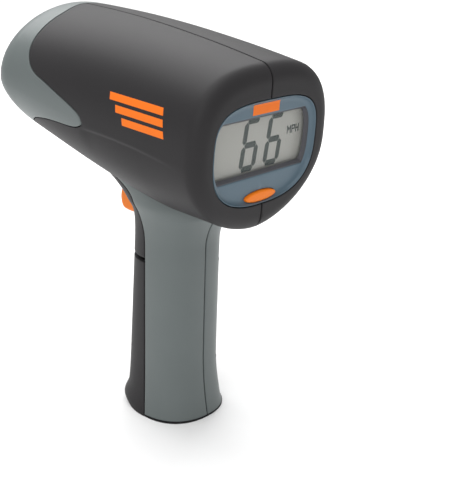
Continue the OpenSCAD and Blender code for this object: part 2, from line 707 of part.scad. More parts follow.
module display_cable() color([0.75, 0.75, 0.72]) plate_x(-6, 6) polygon([
    [-46.5, 143], [-44.9, 144.4], [-43.9, 148.6], [-41.6, 152], [-37, 155], [-33.2, 153.6], [-32.1, 150.7],
    [-32.9, 150.7], [-33.9, 153], [-37, 154.2], [-41, 151.4], [-43.2, 148.3], [-44.3, 143.7], [-46.5, 142.2]
]);

module antenna_cable() color([0.75, 0.75, 0.72]) plate_x(-3, 3)
    polygon([[-22, 174], [-25, 172], [-27.4, 166], [-27.4, 156], [-26, board_z + board_t],
        [-25.2, board_z + board_t], [-26.6, 156.2], [-26.6, 166], [-24.4, 171.4], [-22, 173.2]]);

// ---- Fasteners ----

module screw_x(b, x0, x1) {
    rod_x(x0, x1 + 0.5, b[0], b[1], 1.4);
    rod_x(x1, x1 + 1.8, b[0], b[1], 2.5);
}

module housing_screws() color(steel) for (b = housing_bosses) screw_x(b, -8, 8);

module grip_screws() color(steel) for (b = grip_bosses) screw_x(b, -7, 8);

left_housing();
right_housing();
nose_ring();
nose_cover();
nose_seal();
horn_antenna();
transceiver();
transceiver_screws();
left_grip();
right_grip();
base_plate();
front_strap();
battery_door();
door_pin();
trigger();
trigger_pin();
trigger_spring();
trigger_switch();
trigger_plunger();
battery_tray();
cells();
contact_spring();
contact_plate();
positive_lead();
negative_lead();
main_board();
main_chips();
display_bezel();
window();
lcd_panel();
lcd_segments();
lcd_frame();
connector_strips();
display_board();
display_chips();
display_screws();
mode_button();
button_switch();
button_plunger();
housing_screws();
grip_screws();
display_cable();
antenna_cable();
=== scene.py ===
"""Looks of the handheld speed radar gun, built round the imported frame.

The visible mouldings are smooth closed meshes, and the parts inside keep their CAD shapes. Lengths are
in millimetres and angles in degrees unless a comment says otherwise.
"""

import json
import math
from collections import namedtuple

import bmesh
import bpy
from mathutils import Matrix, Vector


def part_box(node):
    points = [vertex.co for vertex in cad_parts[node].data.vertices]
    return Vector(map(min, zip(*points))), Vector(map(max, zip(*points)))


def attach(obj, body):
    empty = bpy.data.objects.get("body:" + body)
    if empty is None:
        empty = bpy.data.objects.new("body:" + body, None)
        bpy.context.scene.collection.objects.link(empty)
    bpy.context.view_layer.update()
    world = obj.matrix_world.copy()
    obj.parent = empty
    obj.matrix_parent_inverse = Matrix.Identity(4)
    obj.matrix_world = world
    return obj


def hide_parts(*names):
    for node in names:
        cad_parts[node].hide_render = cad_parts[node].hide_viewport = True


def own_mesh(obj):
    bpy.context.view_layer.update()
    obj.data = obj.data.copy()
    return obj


MM = 0.001
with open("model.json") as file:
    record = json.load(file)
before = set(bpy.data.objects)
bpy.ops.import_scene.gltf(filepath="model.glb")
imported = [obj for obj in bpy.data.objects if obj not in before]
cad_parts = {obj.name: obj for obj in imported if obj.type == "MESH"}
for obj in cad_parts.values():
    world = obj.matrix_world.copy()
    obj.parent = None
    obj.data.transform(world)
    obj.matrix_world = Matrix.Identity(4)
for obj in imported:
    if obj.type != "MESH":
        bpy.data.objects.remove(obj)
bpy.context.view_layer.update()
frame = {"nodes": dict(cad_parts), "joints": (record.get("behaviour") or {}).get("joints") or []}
scene = bpy.context.scene


def box_mm(node):
    """Lowest and highest corner of a CAD node."""
    lo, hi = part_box(node)
    return lo / MM, hi / MM


def hinge(name):
    """Place of a hinge, and how far it turns in radians."""
    row = next(j for j in frame["joints"] if j["name"] == name)
    return Vector(row["pos_m"]) / MM, math.radians(row["range_deg"][1])


# ---- Driving dimensions ----

HOUSING_LO = box_mm("left_housing")[0]
RING_HI = box_mm("nose_ring")[1]
GRIP_LO, GRIP_HI = box_mm("left_grip")
DOOR_LO = box_mm("battery_door")[0]
STRAP_LO, STRAP_HI = box_mm("front_strap")
DOOR_AXIS = hinge("door_swing")[0]
TRIGGER_AXIS, TRIGGER_TURN = hinge("trigger_pull")

# Barrel: stations run from 0 at the rear to 1 at the nose
BARREL_L = 147.0
FACE_Z = 160.0  # height of the rear face's centre
REAR_LEAN = math.tan(math.radians(3.2))
NOSE_LEAN = math.tan(math.radians(6.8))
LEAN_FADE = 3  # each end's lean is gone a third of the way along
REAR_HALF_W = 48.5
NOSE_HALF_W = 52.5
NOSE_TOP_Z = RING_HI.z + 0.16
TOP_DROP = 14.5  # from the nose to the rear
BELLY_Z = HOUSING_LO.z
BELLY_RISE_S = 0.26  # station where the belly starts to rise
BELLY_POWER = 1.39
NOSE_RISE = 24.3
UPPER_N, UPPER_N_LOSS = 2.9, 1.05  # squareness of the upper half, and its loss by the nose
LOWER_N, LOWER_N_LOSS = 2.05, 0.42
BELLY_POINT = 1.17  # how much more pointed the belly is
REAR_ROUND = 7.9
REAR_Y = HOUSING_LO.y + REAR_LEAN * (NOSE_TOP_Z - TOP_DROP - REAR_ROUND - FACE_Z)
REAR_ROUND_S = 7 / BARREL_L
NOSE_ROUND = 15.5
NOSE_ROUND_S = 1 - NOSE_ROUND / BARREL_L
NOSE_OPEN = 11.0  # inset of the nose's opening
OPEN_TURN = math.acos(1 - NOSE_OPEN / NOSE_ROUND)  # turn of the round there, in radians
HORN_Z = 178.5
WALL = 2.6
SEAM = 0.45  # width of the gap between mouldings
EDGE_R = 0.45  # rounding of a moulding's edges
RING_EDGE = (  # angle round the barrel and Y of the nose ring's rear edge
    (0, 64.5), (12, 62), (24, 59.7), (48, 58.9), (58, 57.7), (64.5, 55.5), (69.5, 52.9), (74, 48.2),
    (77, 41.2), (80, 34.4), (83.5, 25.4), (86, 18.9), (88, 14.7), (90, 12.7), (92.5, 12.2), (95.5, 14.4),
    (98, 17.8), (100, 23.6), (102, 31.7), (105.5, 41.9), (113, 54.5), (124, 64), (135, 70), (160, 76),
    (180, 77.5))
TONGUE = (75, 104)  # angles where the ring reaches back as a tongue
CREASE_Y = (-58, 16)  # where the crease behind the tongue ends and starts
CREASE_Z, CREASE_DEPTH = 164.2, 0.7
CREASE_SAG, CREASE_SAG_Y = 0.0016, 14

# Barrel's seam: X of the grid's columns beside it, how near the edge each is, and the lip inside it
SEAM_X = (0.4, 0.45, 0.54, 0.68, 0.9, 1.3)
SEAM_NEAR = (1, 0.9, 0.66, 0.32, 0, 0)
LIP_X = (0.01, 1.6)
LIP_DEPTH, LIP_T = 1.5, 1.0

# Nose cover: in its rows, the share of the way from centre to rim, and the depth behind the dome
COVER_T = 5.5
COVER_ROWS = (
    (0.999, COVER_T), (1.0, 1.2), (0.995, 0.75), (0.985, 0.6), (0.955, 0.6), (0.948, 0.5), (0.944, 0.2),
    (0.938, 0.03), (0.92, 0), (0.85, 0), (0.75, 0), (0.64, 0), (0.52, 0), (0.4, 0), (0.28, 0),
    (0.16, 0), (0.07, 0))
COVER_GAP = 0.35
COVER_DOME, COVER_SUNK = 2.6, 0.6

# Display: heights are from the rear face's centre, and depths are behind the rear face
BEZEL_HALF_W = 36.8
BEZEL_UP, BEZEL_DOWN = 23.9, 27.6
FACE_N_UP, FACE_N_DOWN = 3.5, 2.6  # squareness of the display opening's upper and lower half
OPENING_GAP = 0.25
DISH_D = 2.5
DISH = (  # growth of the opening's outline, and depth
    (-0.15, 3.0), (-0.15, 0.5), (-0.2, 0.28), (-0.34, 0.14), (-0.5, 0.16), (-0.66, 0.34), (-0.8, 0.75),
    (-1.0, 1.25), (-1.3, 1.72), (-1.75, 2.12), (-2.4, 2.38), (-3.1, DISH_D))
DISH_CREST = 4  # row of DISH where the slope into the dish starts
WELL = (  # growth of the window's outline, and depth
    (0.3, DISH_D), (0.12, 2.56), (0.0, 2.7), (-0.06, 2.9), (-1.2, 5.3), (0.65, 5.36), (0.65, 8.4),
    (1.9, 8.4), (1.9, 4.6))
# Painted shade: growth of the window's outline, and depth, of the dark grey sheet over the well's walls
WELL_SHADE_SHEET = ((-0.02, 2.86), (-1.16, 5.24), (-1.6, 5.24), (-0.5, 2.86))
WINDOW_V, WINDOW_H, WINDOW_IN = 1.1, 29.4, 2.0
WINDOW_N = 24  # squareness of the window's corners
RIM_ANGLES = [360 - 1.5 * i for i in range(240)]
BUTTON_V, BUTTON_D = -24.2, 0.9
BUTTON_HALF = (11.0, 2.7)
BUTTON_GAP = (0.3, 0.25)
BUTTON_EDGE = ((0, 3.9), (0, 0.9), (0.0648, 0.62), (0.1944, 0.38), (0.3888, 0.2), (0.648, 0.1))
BUTTON_CROWN = ((0.7, 0.03), (0.5, 0.0), (0.3, -0.03), (0.12, -0.04))

# Digits and unit on the display
LCD_D = 6.6
INK_D = LCD_D - 0.03
DIGIT_X = (-12.4, 4.9)
DIGIT_V = -11.8
DIGIT_W, DIGIT_H, DIGIT_T = 12.0, 26.3, 3.0
DIGIT_GAP, DIGIT_SLANT = 0.32, 0.12
UNIT_AT = (22.4, 2.5)
UNIT_SIZE, UNIT_T = 2.4, 0.72

# Screws, as Y and Z of each, and the wells they stand in
HOUSING_SCREWS = ((38, 203.4), (-36, 194.6), (-45.5, 126.4), (53, 146.6))
GRIP_SCREWS = ((-19.2, 30), (-19.2, 88))
WELL_R, WELL_WALL, WELL_X = 2.6, 0.6, 8.0

# Grip
GRIP_HALF_W = 22.0
GRIP_N = 2.3  # squareness of the grip's section
GRIP_WALL, GRIP_SEAM = 2.4, 0.7
GRIP_BEND_Z = 98.0  # height above which the grip swells into the barrel
GRIP_LOW = 24.0  # height below which the grid is finer
GRIP_LIP_X = 1.4

# Battery door
DOOR_GAP = 0.35
DOOR_EDGE_R = 0.4
DOOR_LOW = 20.0
RIDGE_Z = (6.2, 17.8)
RIDGE_HALF_W, RIDGE_PITCH, RIDGE_H = 8.5, 2.32, 0.5
TRAY_HALF_W, TRAY_FRONT_Y = 14.6, 15.6  # the tray's hole in the door's floor
DOOR_FLOOR_T = 1.6
HOOK = ((13, 1.7), (15.7, 1.7), (15.7, 0.7), (17.8, 0.7), (17.8, 3.3), (13, 3.3))
HOOK_W = 10.0
KNUCKLE_R, KNUCKLE_EYE_R, KNUCKLE_W = 1.4, 0.68, 4.8

# Front strap and trigger
STRAP_FOOT = 3.6  # height of the strap's tongue, hidden behind the door
TRIGGER_SLOT = (17.0, 26.6)
TRIGGER_SLOT_Z = 118.3
TRIGGER_PROFILE = (
    (24, 130.4), (28, 125.6), (31.8, 120.6), (33.2, 115.5), (32.6, 111), (31, 108.5), (28.4, 107.6),
    (23.6, 107.4), (20, 108), (18.4, 110), (18.1, 115), (18.1, 121), (18.2, 128))
TRIGGER_ARM = (
    (22, 133), (14.5, 131), (14.5, 135.6), (13.5, 136.2), (12.5, 135.6), (12.5, 130.6), (9.2, 129),
    (3, 129), (3, 126.4), (20, 126.4))
TRIGGER_W, HUB_W, ARM_W = 16.0, 15.6, 6.0
HUB_R, HUB_BORE_R = 4.0, 1.55
SPRING_WIRE_R, SPRING_TURNS = 0.35, 5.5

# Printed marks
LABEL_HALF_W = 9.4
LABEL_V = (16.8, 21.9)
STRIPES = ((-6.0, -41.0), (-11.0, -42.0), (-16.0, -43.0))  # Y where each stripe starts and ends
STRIPE_TOP_Z, STRIPE_PITCH, STRIPE_H = 184.2, 5.3, 3.4
STRIPE_FALL, STRIPE_SLANT = 0.05, 0.75
PRINT_PROUD = 0.07


# ---- Rules of the surfaces ----

def mix(a, b, k):
    """The value a share k of the way from a to b."""
    return a + (b - a) * k


def smooth(u):
    """A step from 0 at 0 to 1 at 1 with level ends."""
    c = min(max(u, 0), 1)
    return c * c * (3 - 2 * c)


def power(v, e):
    """v to the power e, with the sign of v."""
    return math.copysign(abs(v) ** e, v)


def sin_deg(a):
    return math.sin(math.radians(a))


def cos_deg(a):
    return math.cos(math.radians(a))


def arc_inset(u):
    """How far a quarter round of radius 1 has dropped at u, from 0 at 0 to 1 at 1."""
    return 1 - math.sqrt(max(0, 1 - min(1, max(0, u)) ** 2))


def curve(table, x):
    """A smooth curve through the table's points, without overshoot."""
    n = len(table)
    slopes = [(table[i + 1][1] - table[i][1]) / (table[i + 1][0] - table[i][0]) for i in range(n - 1)]

    def slope_at(i):
        if i == 0 or i == n - 1:
            return 0.0
        a, b = slopes[i - 1], slopes[i]
        return 2 * a * b / (a + b) if a * b > 0 else 0.0

    i = max(j for j in range(n - 1) if j == 0 or table[j][0] <= x)
    (x0, y0), (x1, y1) = table[i], table[i + 1]
    h = x1 - x0
    t = min(1, max(0, (x - x0) / h))
    return (y0 * (1 + 2 * t) * (1 - t) ** 2 + slope_at(i) * h * t * (1 - t) ** 2
            + y1 * t * t * (3 - 2 * t) - slope_at(i + 1) * h * t * t * (1 - t))


def closed_curve(points, steps):
    """A smooth closed curve through the points, with that many steps between two of them."""
    n = len(points)
    out = []
    for i in range(n):
        p0, p1, p2, p3 = (Vector(points[(i + k - 1) % n]) for k in range(4))
        for j in range(steps):
            t = j / steps
            out.append(tuple(0.5 * (2 * p1 + (p2 - p0) * t + (2 * p0 - 5 * p1 + 4 * p2 - p3) * t * t
                                    + (3 * p1 - p0 - 3 * p2 + p3) * t ** 3)))
    return out


def station(y):
    return (y - REAR_Y) / BARREL_L


def turn_angle(s):
    """Radians by which the skin has turned towards the nose (+) or the rear (-) at station s."""
    if s > NOSE_ROUND_S:
        return math.asin(min(1, (s - NOSE_ROUND_S) / (1 - NOSE_ROUND_S)))
    if s < REAR_ROUND_S:
        return -math.asin(min(1, (REAR_ROUND_S - s) / REAR_ROUND_S))
    return 0.0


def section(s, t):
    """Half width, top and bottom of the barrel at station s, inset by t."""
    inset = (t + NOSE_ROUND * arc_inset((s - NOSE_ROUND_S) / (1 - NOSE_ROUND_S))
             + REAR_ROUND * arc_inset((REAR_ROUND_S - s) / REAR_ROUND_S))
    rise = NOSE_RISE * max(0, (s - BELLY_RISE_S) / (1 - BELLY_RISE_S)) ** BELLY_POWER
    return (mix(REAR_HALF_W, NOSE_HALF_W, s) - inset,
            NOSE_TOP_Z - TOP_DROP * (1 - s) ** 2 - inset,
            BELLY_Z + rise + inset)


def squareness(s, upper):
    """Exponent of the section's rounding at station s."""
    return UPPER_N - UPPER_N_LOSS * s if upper else LOWER_N - LOWER_N_LOSS * s


def pointing(upper):
    return 1 if upper else BELLY_POINT


def lean(s):
    """Change of Y with height at station s, where the ends lean."""
    return -REAR_LEAN * max(0, 1 - LEAN_FADE * s) + NOSE_LEAN * max(0, 1 - LEAN_FADE * (1 - s))


def skin_point(s, a, t=0.0):
    """A point of the barrel's skin, t deep: a runs from the top through -X to the bottom."""
    turn = turn_angle(s)
    w, top, bottom = section(s, t * math.cos(turn))
    upper = a <= 90
    n = squareness(s, upper)
    x = -w * power(sin_deg(a), 2 / n * pointing(upper))
    z = (top + bottom) / 2 + (top - bottom) / 2 * power(cos_deg(a), 2 / n)
    return Vector((x, REAR_Y + s * BARREL_L + lean(s) * (z - FACE_Z) - t * math.sin(turn), z))


def flank_point(y, z, proud):
    """The left flank's skin at that Y and height, standing proud."""
    s = station(y)
    for _ in range(4):
        s = station(y - lean(s) * (z - FACE_Z))
    w, top, bottom = section(s, -proud)
    middle, half = (top + bottom) / 2, (top - bottom) / 2
    upper = z >= middle
    n = squareness(s, upper)
    return Vector((-w * (1 - abs((z - middle) / half) ** n) ** (pointing(upper) / n), y, z))


def face_point(a, g=0.0):
    """A point of the display opening's outline, grown by g: X and height from its centre."""
    up = cos_deg(a) >= 0
    n = FACE_N_UP if up else FACE_N_DOWN
    return (-(BEZEL_HALF_W + g) * power(sin_deg(a), 2 / n),
            ((BEZEL_UP if up else BEZEL_DOWN) + g) * power(cos_deg(a), 2 / n))


def face_height(x, upper, g=0.0):
    """Height of the display opening's outline at that X, above (+) or below (-) its centre."""
    n = FACE_N_UP if upper else FACE_N_DOWN
    reach = BEZEL_UP + g if upper else -BEZEL_DOWN - g
    return reach * (1 - abs(x / BEZEL_HALF_W) ** n) ** (1 / n)


def on_rear(p, d):
    """The point at that X and height, d behind the leaning rear face."""
    return Vector((p[0], REAR_Y - REAR_LEAN * p[1] + d, FACE_Z + p[1]))


# ---- Mesh builders ----

# A grid line: near is 1 at a rounded edge and 0 away from it
Line = namedtuple("Line", "value near", defaults=(0.0,))
EDGE_NEAR = (1.0, 0.92, 0.72, 0.4, 0.0)


def span(rows, start, end):
    """The grid lines, squeezed into the span from start to end."""
    return [Line(mix(start, end, row.value), row.near) for row in rows]


def even(count):
    """Evenly spaced grid lines from 0 to 1."""
    return [Line(i / count) for i in range(count + 1)]


def lines(count, length, radius=EDGE_R, ends=(True, True)):
    """Grid lines from 0 to 1 over a span of that length, with extra ones that round its ends."""
    start = [Line((1 - k) * radius / length, k) for k in EDGE_NEAR] if ends[0] else []
    first = radius / length if ends[0] else 0.0
    last = 1 - radius / length if ends[1] else 1.0
    inner = span(even(count), first, last)[1 if ends[0] else 0:]
    finish = [Line(1 - (1 - k) * radius / length, k) for k in reversed(EDGE_NEAR[:-1])] if ends[1] else []
    return start + inner + finish


def tongue_angles(first, end, fine, coarse):
    """Angles from the first up to the end, in fine steps at the tongue and coarse ones elsewhere."""
    angles = []
    a = first
    while a < end:
        angles.append(a)
        a += fine if TONGUE[0] < a < TONGUE[1] else coarse
    return angles


def shell(us, vs, point, thickness, radius=EDGE_R):
    """Vertices and faces of a closed shell over a grid, where point(u, v, t) is the place at depth t."""
    nu, nv = len(us), len(vs)
    verts = [point(u.value, v.value, radius * arc_inset(max(u.near, v.near))) for u in us for v in vs]
    verts += [point(u.value, v.value, thickness) for u in us for v in vs]
    under = nu * nv
    faces = []
    for i in range(nu - 1):
        for j in range(nv - 1):
            a, b, c, d = i * nv + j, (i + 1) * nv + j, (i + 1) * nv + j + 1, i * nv + j + 1
            faces += [(a, b, c, d), (under + d, under + c, under + b, under + a)]
            for at_edge, p, q in ((j == 0, a, b), (i == nu - 2, b, c), (j == nv - 2, c, d), (i == 0, d, a)):
                if at_edge:
                    faces.append((p, under + p, under + q, q))
    return verts, faces


def ring_faces(rows, count, closed=False):
    """Faces between rows of points that each run once round, and from last to first where closed."""
    pairs = [(r, (r + 1) % rows) for r in range(rows if closed else rows - 1)]
    return [(a * count + i, a * count + (i + 1) % count, b * count + (i + 1) % count, b * count + i)
            for a, b in pairs for i in range(count)]


def mirrored(verts, faces):
    return [Vector((-v.x, v.y, v.z)) for v in verts], [tuple(reversed(f)) for f in faces]


def add_object(name, data):
    obj = bpy.data.objects.new(name, data)
    scene.collection.objects.link(obj)
    return obj


def evaluated_mesh(obj):
    """A mesh of what the object's curve or modifiers make."""
    bpy.context.view_layer.update()
    return bpy.data.meshes.new_from_object(obj.evaluated_get(bpy.context.evaluated_depsgraph_get()))


def settle(name, mesh, finish, body, slot, replaces=(), sharp=34):
    """A piece with its mesh cleaned and smooth-shaded, tied to the frame."""
    obj = add_object(name, mesh)
    work = bmesh.new()
    work.from_mesh(mesh)
    bmesh.ops.remove_doubles(work, verts=work.verts, dist=1e-6)
    bmesh.ops.dissolve_degenerate(work, edges=work.edges, dist=1e-7)
    bmesh.ops.recalc_face_normals(work, faces=work.faces)
    work.to_mesh(mesh)
    work.free()
    mesh.polygons.foreach_set("use_smooth", [True] * len(mesh.polygons))
    mesh.set_sharp_from_angle(angle=math.radians(sharp))
    mesh.materials.clear()
    mesh.materials.append(finish)
    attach(obj, body)
    if replaces:
        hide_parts(*replaces)
    return obj


def add_piece(name, verts, faces, finish, body, slot, replaces=(), sharp=34):
    """A piece from its points and faces."""
    mesh = bpy.data.meshes.new(name)
    mesh.from_pydata([v * MM for v in verts], [], faces)
    return settle(name, mesh, finish, body, slot, replaces, sharp)


def add_mesh(name, mesh, place, finish, body, slot, replaces=(), sharp=34):
    """A piece from a slab and its place in the object."""
    mesh.transform(place)
    mesh.transform(Matrix.Scale(MM, 4))
    mesh.name = name
    return settle(name, mesh, finish, body, slot, replaces, sharp)


def slab_mesh(outlines, depth, bevel, steps=2):
    """A flat shape with rounded edges: outlines in X and Y, the later ones holes, from Z 0 up to depth."""
    data = bpy.data.curves.new("outline", "CURVE")
    data.dimensions, data.fill_mode = "2D", "BOTH"
    data.extrude, data.offset = depth / 2 - bevel, -bevel
    data.bevel_depth, data.bevel_resolution = bevel, steps
    for outline in outlines:
        spline = data.splines.new("POLY")
        spline.points.add(len(outline) - 1)
        for point, (x, y) in zip(spline.points, outline):
            point.co = (x, y, 0, 1)
        spline.use_cyclic_u = True
    holder = add_object("outline", data)
    mesh = evaluated_mesh(holder)
    bpy.data.objects.remove(holder)
    mesh.transform(Matrix.Translation((0, 0, depth / 2)))
    return mesh


def cut(obj, outline, depth, place):
    """Takes a slab of that outline and depth, at its place, out of the piece."""
    mesh = slab_mesh([outline], depth, 0.01, 1)
    mesh.transform(place)
    mesh.transform(Matrix.Scale(MM, 4))
    cutter = add_object("cutter", mesh)
    modifier = obj.modifiers.new("cut", "BOOLEAN")
    modifier.object, modifier.operation, modifier.solver = cutter, "DIFFERENCE", "EXACT"
    result = evaluated_mesh(obj)
    obj.modifiers.clear()
    obj.data = result
    result.set_sharp_from_angle(angle=math.radians(40))
    bpy.data.objects.remove(cutter)


def face_place(d):
    """Where a slab lies on the rear face: X is X, Y runs up the face, and its back is d behind it."""
    tilt = Matrix.Rotation(math.atan(REAR_LEAN), 4, "X")
    upright = Matrix.Rotation(math.radians(90), 4, "X")
    return Matrix.Translation((0, REAR_Y, FACE_Z)) @ tilt @ Matrix.Translation((0, d, 0)) @ upright


def side_place(x):
    """Where a slab drawn in Y and Z stands, from x towards +X."""
    return Matrix(((0, 0, 1, x), (1, 0, 0, 0), (0, 1, 0, 0), (0, 0, 0, 1)))


def front_place(y):
    """Where a slab drawn in X and Z stands, from y towards -Y."""
    return Matrix(((1, 0, 0, 0), (0, 0, -1, y), (0, 1, 0, 0), (0, 0, 0, 1)))


def rounded_rectangle(w, h, r, centre, steps=6):
    points = []
    for k, (sx, sy) in enumerate(((1, 1), (-1, 1), (-1, -1), (1, -1))):
        for i in range(steps + 1):
            a = 90 * k + 90 * i / steps
            points.append((centre[0] + sx * (w / 2 - r) + r * cos_deg(a),
                           centre[1] + sy * (h / 2 - r) + r * sin_deg(a)))
    return points


def ellipse(rx, ry, count, centre):
    turns = [2 * math.pi * i / count for i in range(count)]
    return [(centre[0] + rx * math.cos(a), centre[1] + ry * math.sin(a)) for a in turns]


# ---- Finishes ----

CLOUD_SCALE = 42  # of the cloudy tint, per metre
WORN_EDGE = (0.54, 0.68)  # pointiness where an edge starts to pale and where it is palest
ROUGH_SPREAD = 0.06
GRAIN_HEIGHT = 0.12  # height of the grain as a share of its size


def set_inputs(node, values):
    for socket, value in values.items():
        node.inputs[socket].default_value = value


def add_node(tree, kind, values, **settings):
    """A shader node with its settings made, and then its inputs' values."""
    node = tree.nodes.new(kind)
    for setting, value in settings.items():
        setattr(node, setting, value)
    set_inputs(node, values)
    return node


def join(source, output, node, socket):
    source.id_data.links.new(source.outputs[output], node.inputs[socket])


def node_material(name):
    """A new material, its node tree and its shader."""
    mat = bpy.data.materials.new(name)
    mat.use_nodes = True
    return mat, mat.node_tree, mat.node_tree.nodes["Principled BSDF"]


def shade(color, factor, lift=0.0):
    """A colour made lighter or darker, with full opacity."""
    return (*[min(1, c * factor + lift) for c in color], 1)


def material(name, color, rough, grain, bump, tint, wear=0.0, shine=0.5, metal=0.0, coat=0.0):
    """A moulded, painted or metal surface. Grain is its texture's size in metres, tint its cloudiness,
    and wear how pale its sharp edges are."""
    mat, tree, shader = node_material(name)
    place = add_node(tree, "ShaderNodeTexCoord", {})
    clouds = add_node(tree, "ShaderNodeTexNoise", {"Scale": CLOUD_SCALE, "Detail": 3})
    grains = add_node(tree, "ShaderNodeTexNoise", {"Scale": 1 / grain, "Detail": 2})
    join(place, "Object", clouds, "Vector")
    join(place, "Object", grains, "Vector")

    cloudy = add_node(tree, "ShaderNodeMix", {"A": shade(color, 1 - tint), "B": shade(color, 1 + tint)},
                      data_type="RGBA")
    join(clouds, "Fac", cloudy, "Factor")
    edges = add_node(tree, "ShaderNodeNewGeometry", {})
    worn = add_node(tree, "ShaderNodeMapRange",
                    {"From Min": WORN_EDGE[0], "From Max": WORN_EDGE[1], "To Max": wear})
    join(edges, "Pointiness", worn, "Value")
    paled = add_node(tree, "ShaderNodeMix", {"B": shade(color, 1.7, 0.03)}, data_type="RGBA")
    join(worn, "Result", paled, "Factor")
    join(cloudy, "Result", paled, "A")
    join(paled, "Result", shader, "Base Color")

    uneven = add_node(tree, "ShaderNodeMapRange",
                      {"To Min": rough - ROUGH_SPREAD, "To Max": rough + ROUGH_SPREAD})
    join(grains, "Fac", uneven, "Value")
    join(uneven, "Result", shader, "Roughness")
    relief = add_node(tree, "ShaderNodeBump", {"Strength": bump, "Distance": grain * GRAIN_HEIGHT})
    join(grains, "Fac", relief, "Height")
    join(relief, "Normal", shader, "Normal")

    set_inputs(shader, {"Metallic": metal, "Specular IOR Level": shine, "Coat Weight": coat,
                        "Coat Roughness": 0.18})
    return mat


def clear_material(name):
    """Polished clear plastic with a faint uneven haze."""
    mat, tree, shader = node_material(name)
    place = add_node(tree, "ShaderNodeTexCoord", {})
    haze = add_node(tree, "ShaderNodeTexNoise", {"Scale": 60})
    rough = add_node(tree, "ShaderNodeMapRange", {"To Min": 0.03, "To Max": 0.09})
    join(place, "Object", haze, "Vector")
    join(haze, "Fac", rough, "Value")
    join(rough, "Result", shader, "Roughness")
    set_inputs(shader, {"Base Color": (0.75, 0.80, 0.82, 1), "Alpha": 0.05, "Specular IOR Level": 0.3})
    return mat


# Name, colour, roughness, grain, bump, tint and what else each finish has
# Painted shade: a dull grey that darkens the walls of the window's well
WELL_SHADE = material("painted_well_shade", (0.088, 0.088, 0.098), 0.5, 0.0004, 0.3, 0.07, shine=0.25)
DARK = material("dark_plastic", (0.0225, 0.0212, 0.0225), 0.54, 0.00042, 0.55, 0.07, wear=0.05, shine=0.2)
GREY = material("grey_plastic", (0.127, 0.146, 0.145), 0.42, 0.00035, 0.45, 0.05, wear=0.12, shine=0.3,
                metal=0.1)
ORANGE = material("orange_plastic", (0.82, 0.19, 0.006), 0.4, 0.0005, 0.25, 0.04, wear=0.15, shine=0.25)
ORANGE_INK = material("orange_ink", (0.82, 0.17, 0.012), 0.5, 0.0003, 0.3, 0.06, shine=0.2)
SLATE = material("slate_paint", (0.084, 0.129, 0.164), 0.38, 0.0003, 0.3, 0.05, wear=0.2, shine=0.4,
                 metal=0.15)
SOLE = material("sole_plastic", (0.010, 0.010, 0.011), 0.6, 0.0005, 0.4, 0.08, wear=0.05, shine=0.15)
BLACK = material("black_plastic", (0.012, 0.012, 0.013), 0.55, 0.0005, 0.4, 0.08, wear=0.2, shine=0.2)
WHITE = material("white_plastic", (0.72, 0.70, 0.65), 0.45, 0.0004, 0.25, 0.04)
PANEL = material("lcd_glass", (0.32, 0.315, 0.283), 0.32, 0.0002, 0.12, 0.03, shine=0.4, coat=0.1)
INK = material("lcd_ink", (0.016, 0.026, 0.020), 0.5, 0.0003, 0.1, 0.05, shine=0.15)
BOARD = material("circuit_board", (0.018, 0.11, 0.045), 0.38, 0.0016, 0.5, 0.25, wear=0.3, coat=0.3)
CAST = material("cast_metal", (0.58, 0.57, 0.53), 0.42, 0.0006, 0.7, 0.08, wear=0.2, metal=1.0)
BRASS = material("waveguide_brass", (0.72, 0.52, 0.24), 0.3, 0.0005, 0.3, 0.08, wear=0.2, metal=1.0)
STEEL = material("steel", (0.56, 0.56, 0.58), 0.28, 0.0004, 0.3, 0.06, wear=0.2, metal=1.0)
SLEEVE = material("cell_sleeve", (0.05, 0.046, 0.05), 0.35, 0.0008, 0.15, 0.1, wear=0.2, metal=0.3, coat=0.3)
FOAM = material("seal_foam", (0.025, 0.025, 0.025), 0.9, 0.0009, 1.0, 0.2)
RED = material("red_wire", (0.42, 0.012, 0.01), 0.4, 0.0006, 0.2, 0.1, wear=0.1)
WIRE = material("black_wire", (0.015, 0.015, 0.015), 0.4, 0.0006, 0.2, 0.1, wear=0.1)
RIBBON = material("flat_cable", (0.52, 0.52, 0.50), 0.5, 0.0008, 0.4, 0.08)
CLEAR = clear_material("clear_window")


# ---- Barrel ----

# A line along the barrel: "angle" with an angle, or "top" or "bottom" with an X
Column = namedtuple("Column", "kind value")


def seam_angle(s, x, top):
    """Angle of the skin point that lies x from the middle plane at station s."""
    half_w = section(max(0, s), 0)[0]
    a = math.degrees(math.asin((x / half_w) ** (squareness(s, top) / (2 * pointing(top)))))
    return a if top else 180 - a


def column_angle(column, s):
    """Angle at which the column crosses station s."""
    return column.value if column.kind == "angle" else seam_angle(s, column.value, column.kind == "top")


def ring_angle(column):
    """Angle at which the column meets the nose ring."""
    return {"top": 0.0, "bottom": 180.0}.get(column.kind, column.value)


def half_columns():
    """Columns round half the barrel, closer at the seam and at the tongue."""
    seam = list(zip(SEAM_X, SEAM_NEAR))
    return ([Line(Column("top", x), near) for x, near in seam]
            + [Line(Column("angle", a)) for a in tongue_angles(2.0, 178.2, 0.6, 1.6)]
            + [Line(Column("bottom", x), near) for x, near in reversed(seam)])


def edge_gap(a):
    """The gap along Y that leaves an even gap across the ring's slanted edge."""
    reach, reach_mm = 1.5, 2.7
    rise = curve(RING_EDGE, min(180, a + reach)) - curve(RING_EDGE, max(0, a - reach))
    return SEAM * math.hypot(1, rise / reach_mm)


def crease(y, z):
    """Depth of the soft crease that runs back from each tongue along the flank."""
    along = smooth((CREASE_Y[1] - y) / 10) * smooth((y - CREASE_Y[0]) / 40)
    drop = CREASE_Z - CREASE_SAG * max(0, CREASE_SAG_Y - y) ** 2 - z
    return CREASE_DEPTH * along * smooth(drop / 2.2) * (1 - smooth((drop - 2) / 16))


def opening_point(column):
    """Where the column ends at the display's opening, as X and height."""
    if column.kind == "angle":
        return face_point(column.value, OPENING_GAP)
    return -column.value, face_height(column.value, column.kind == "top", OPENING_GAP)


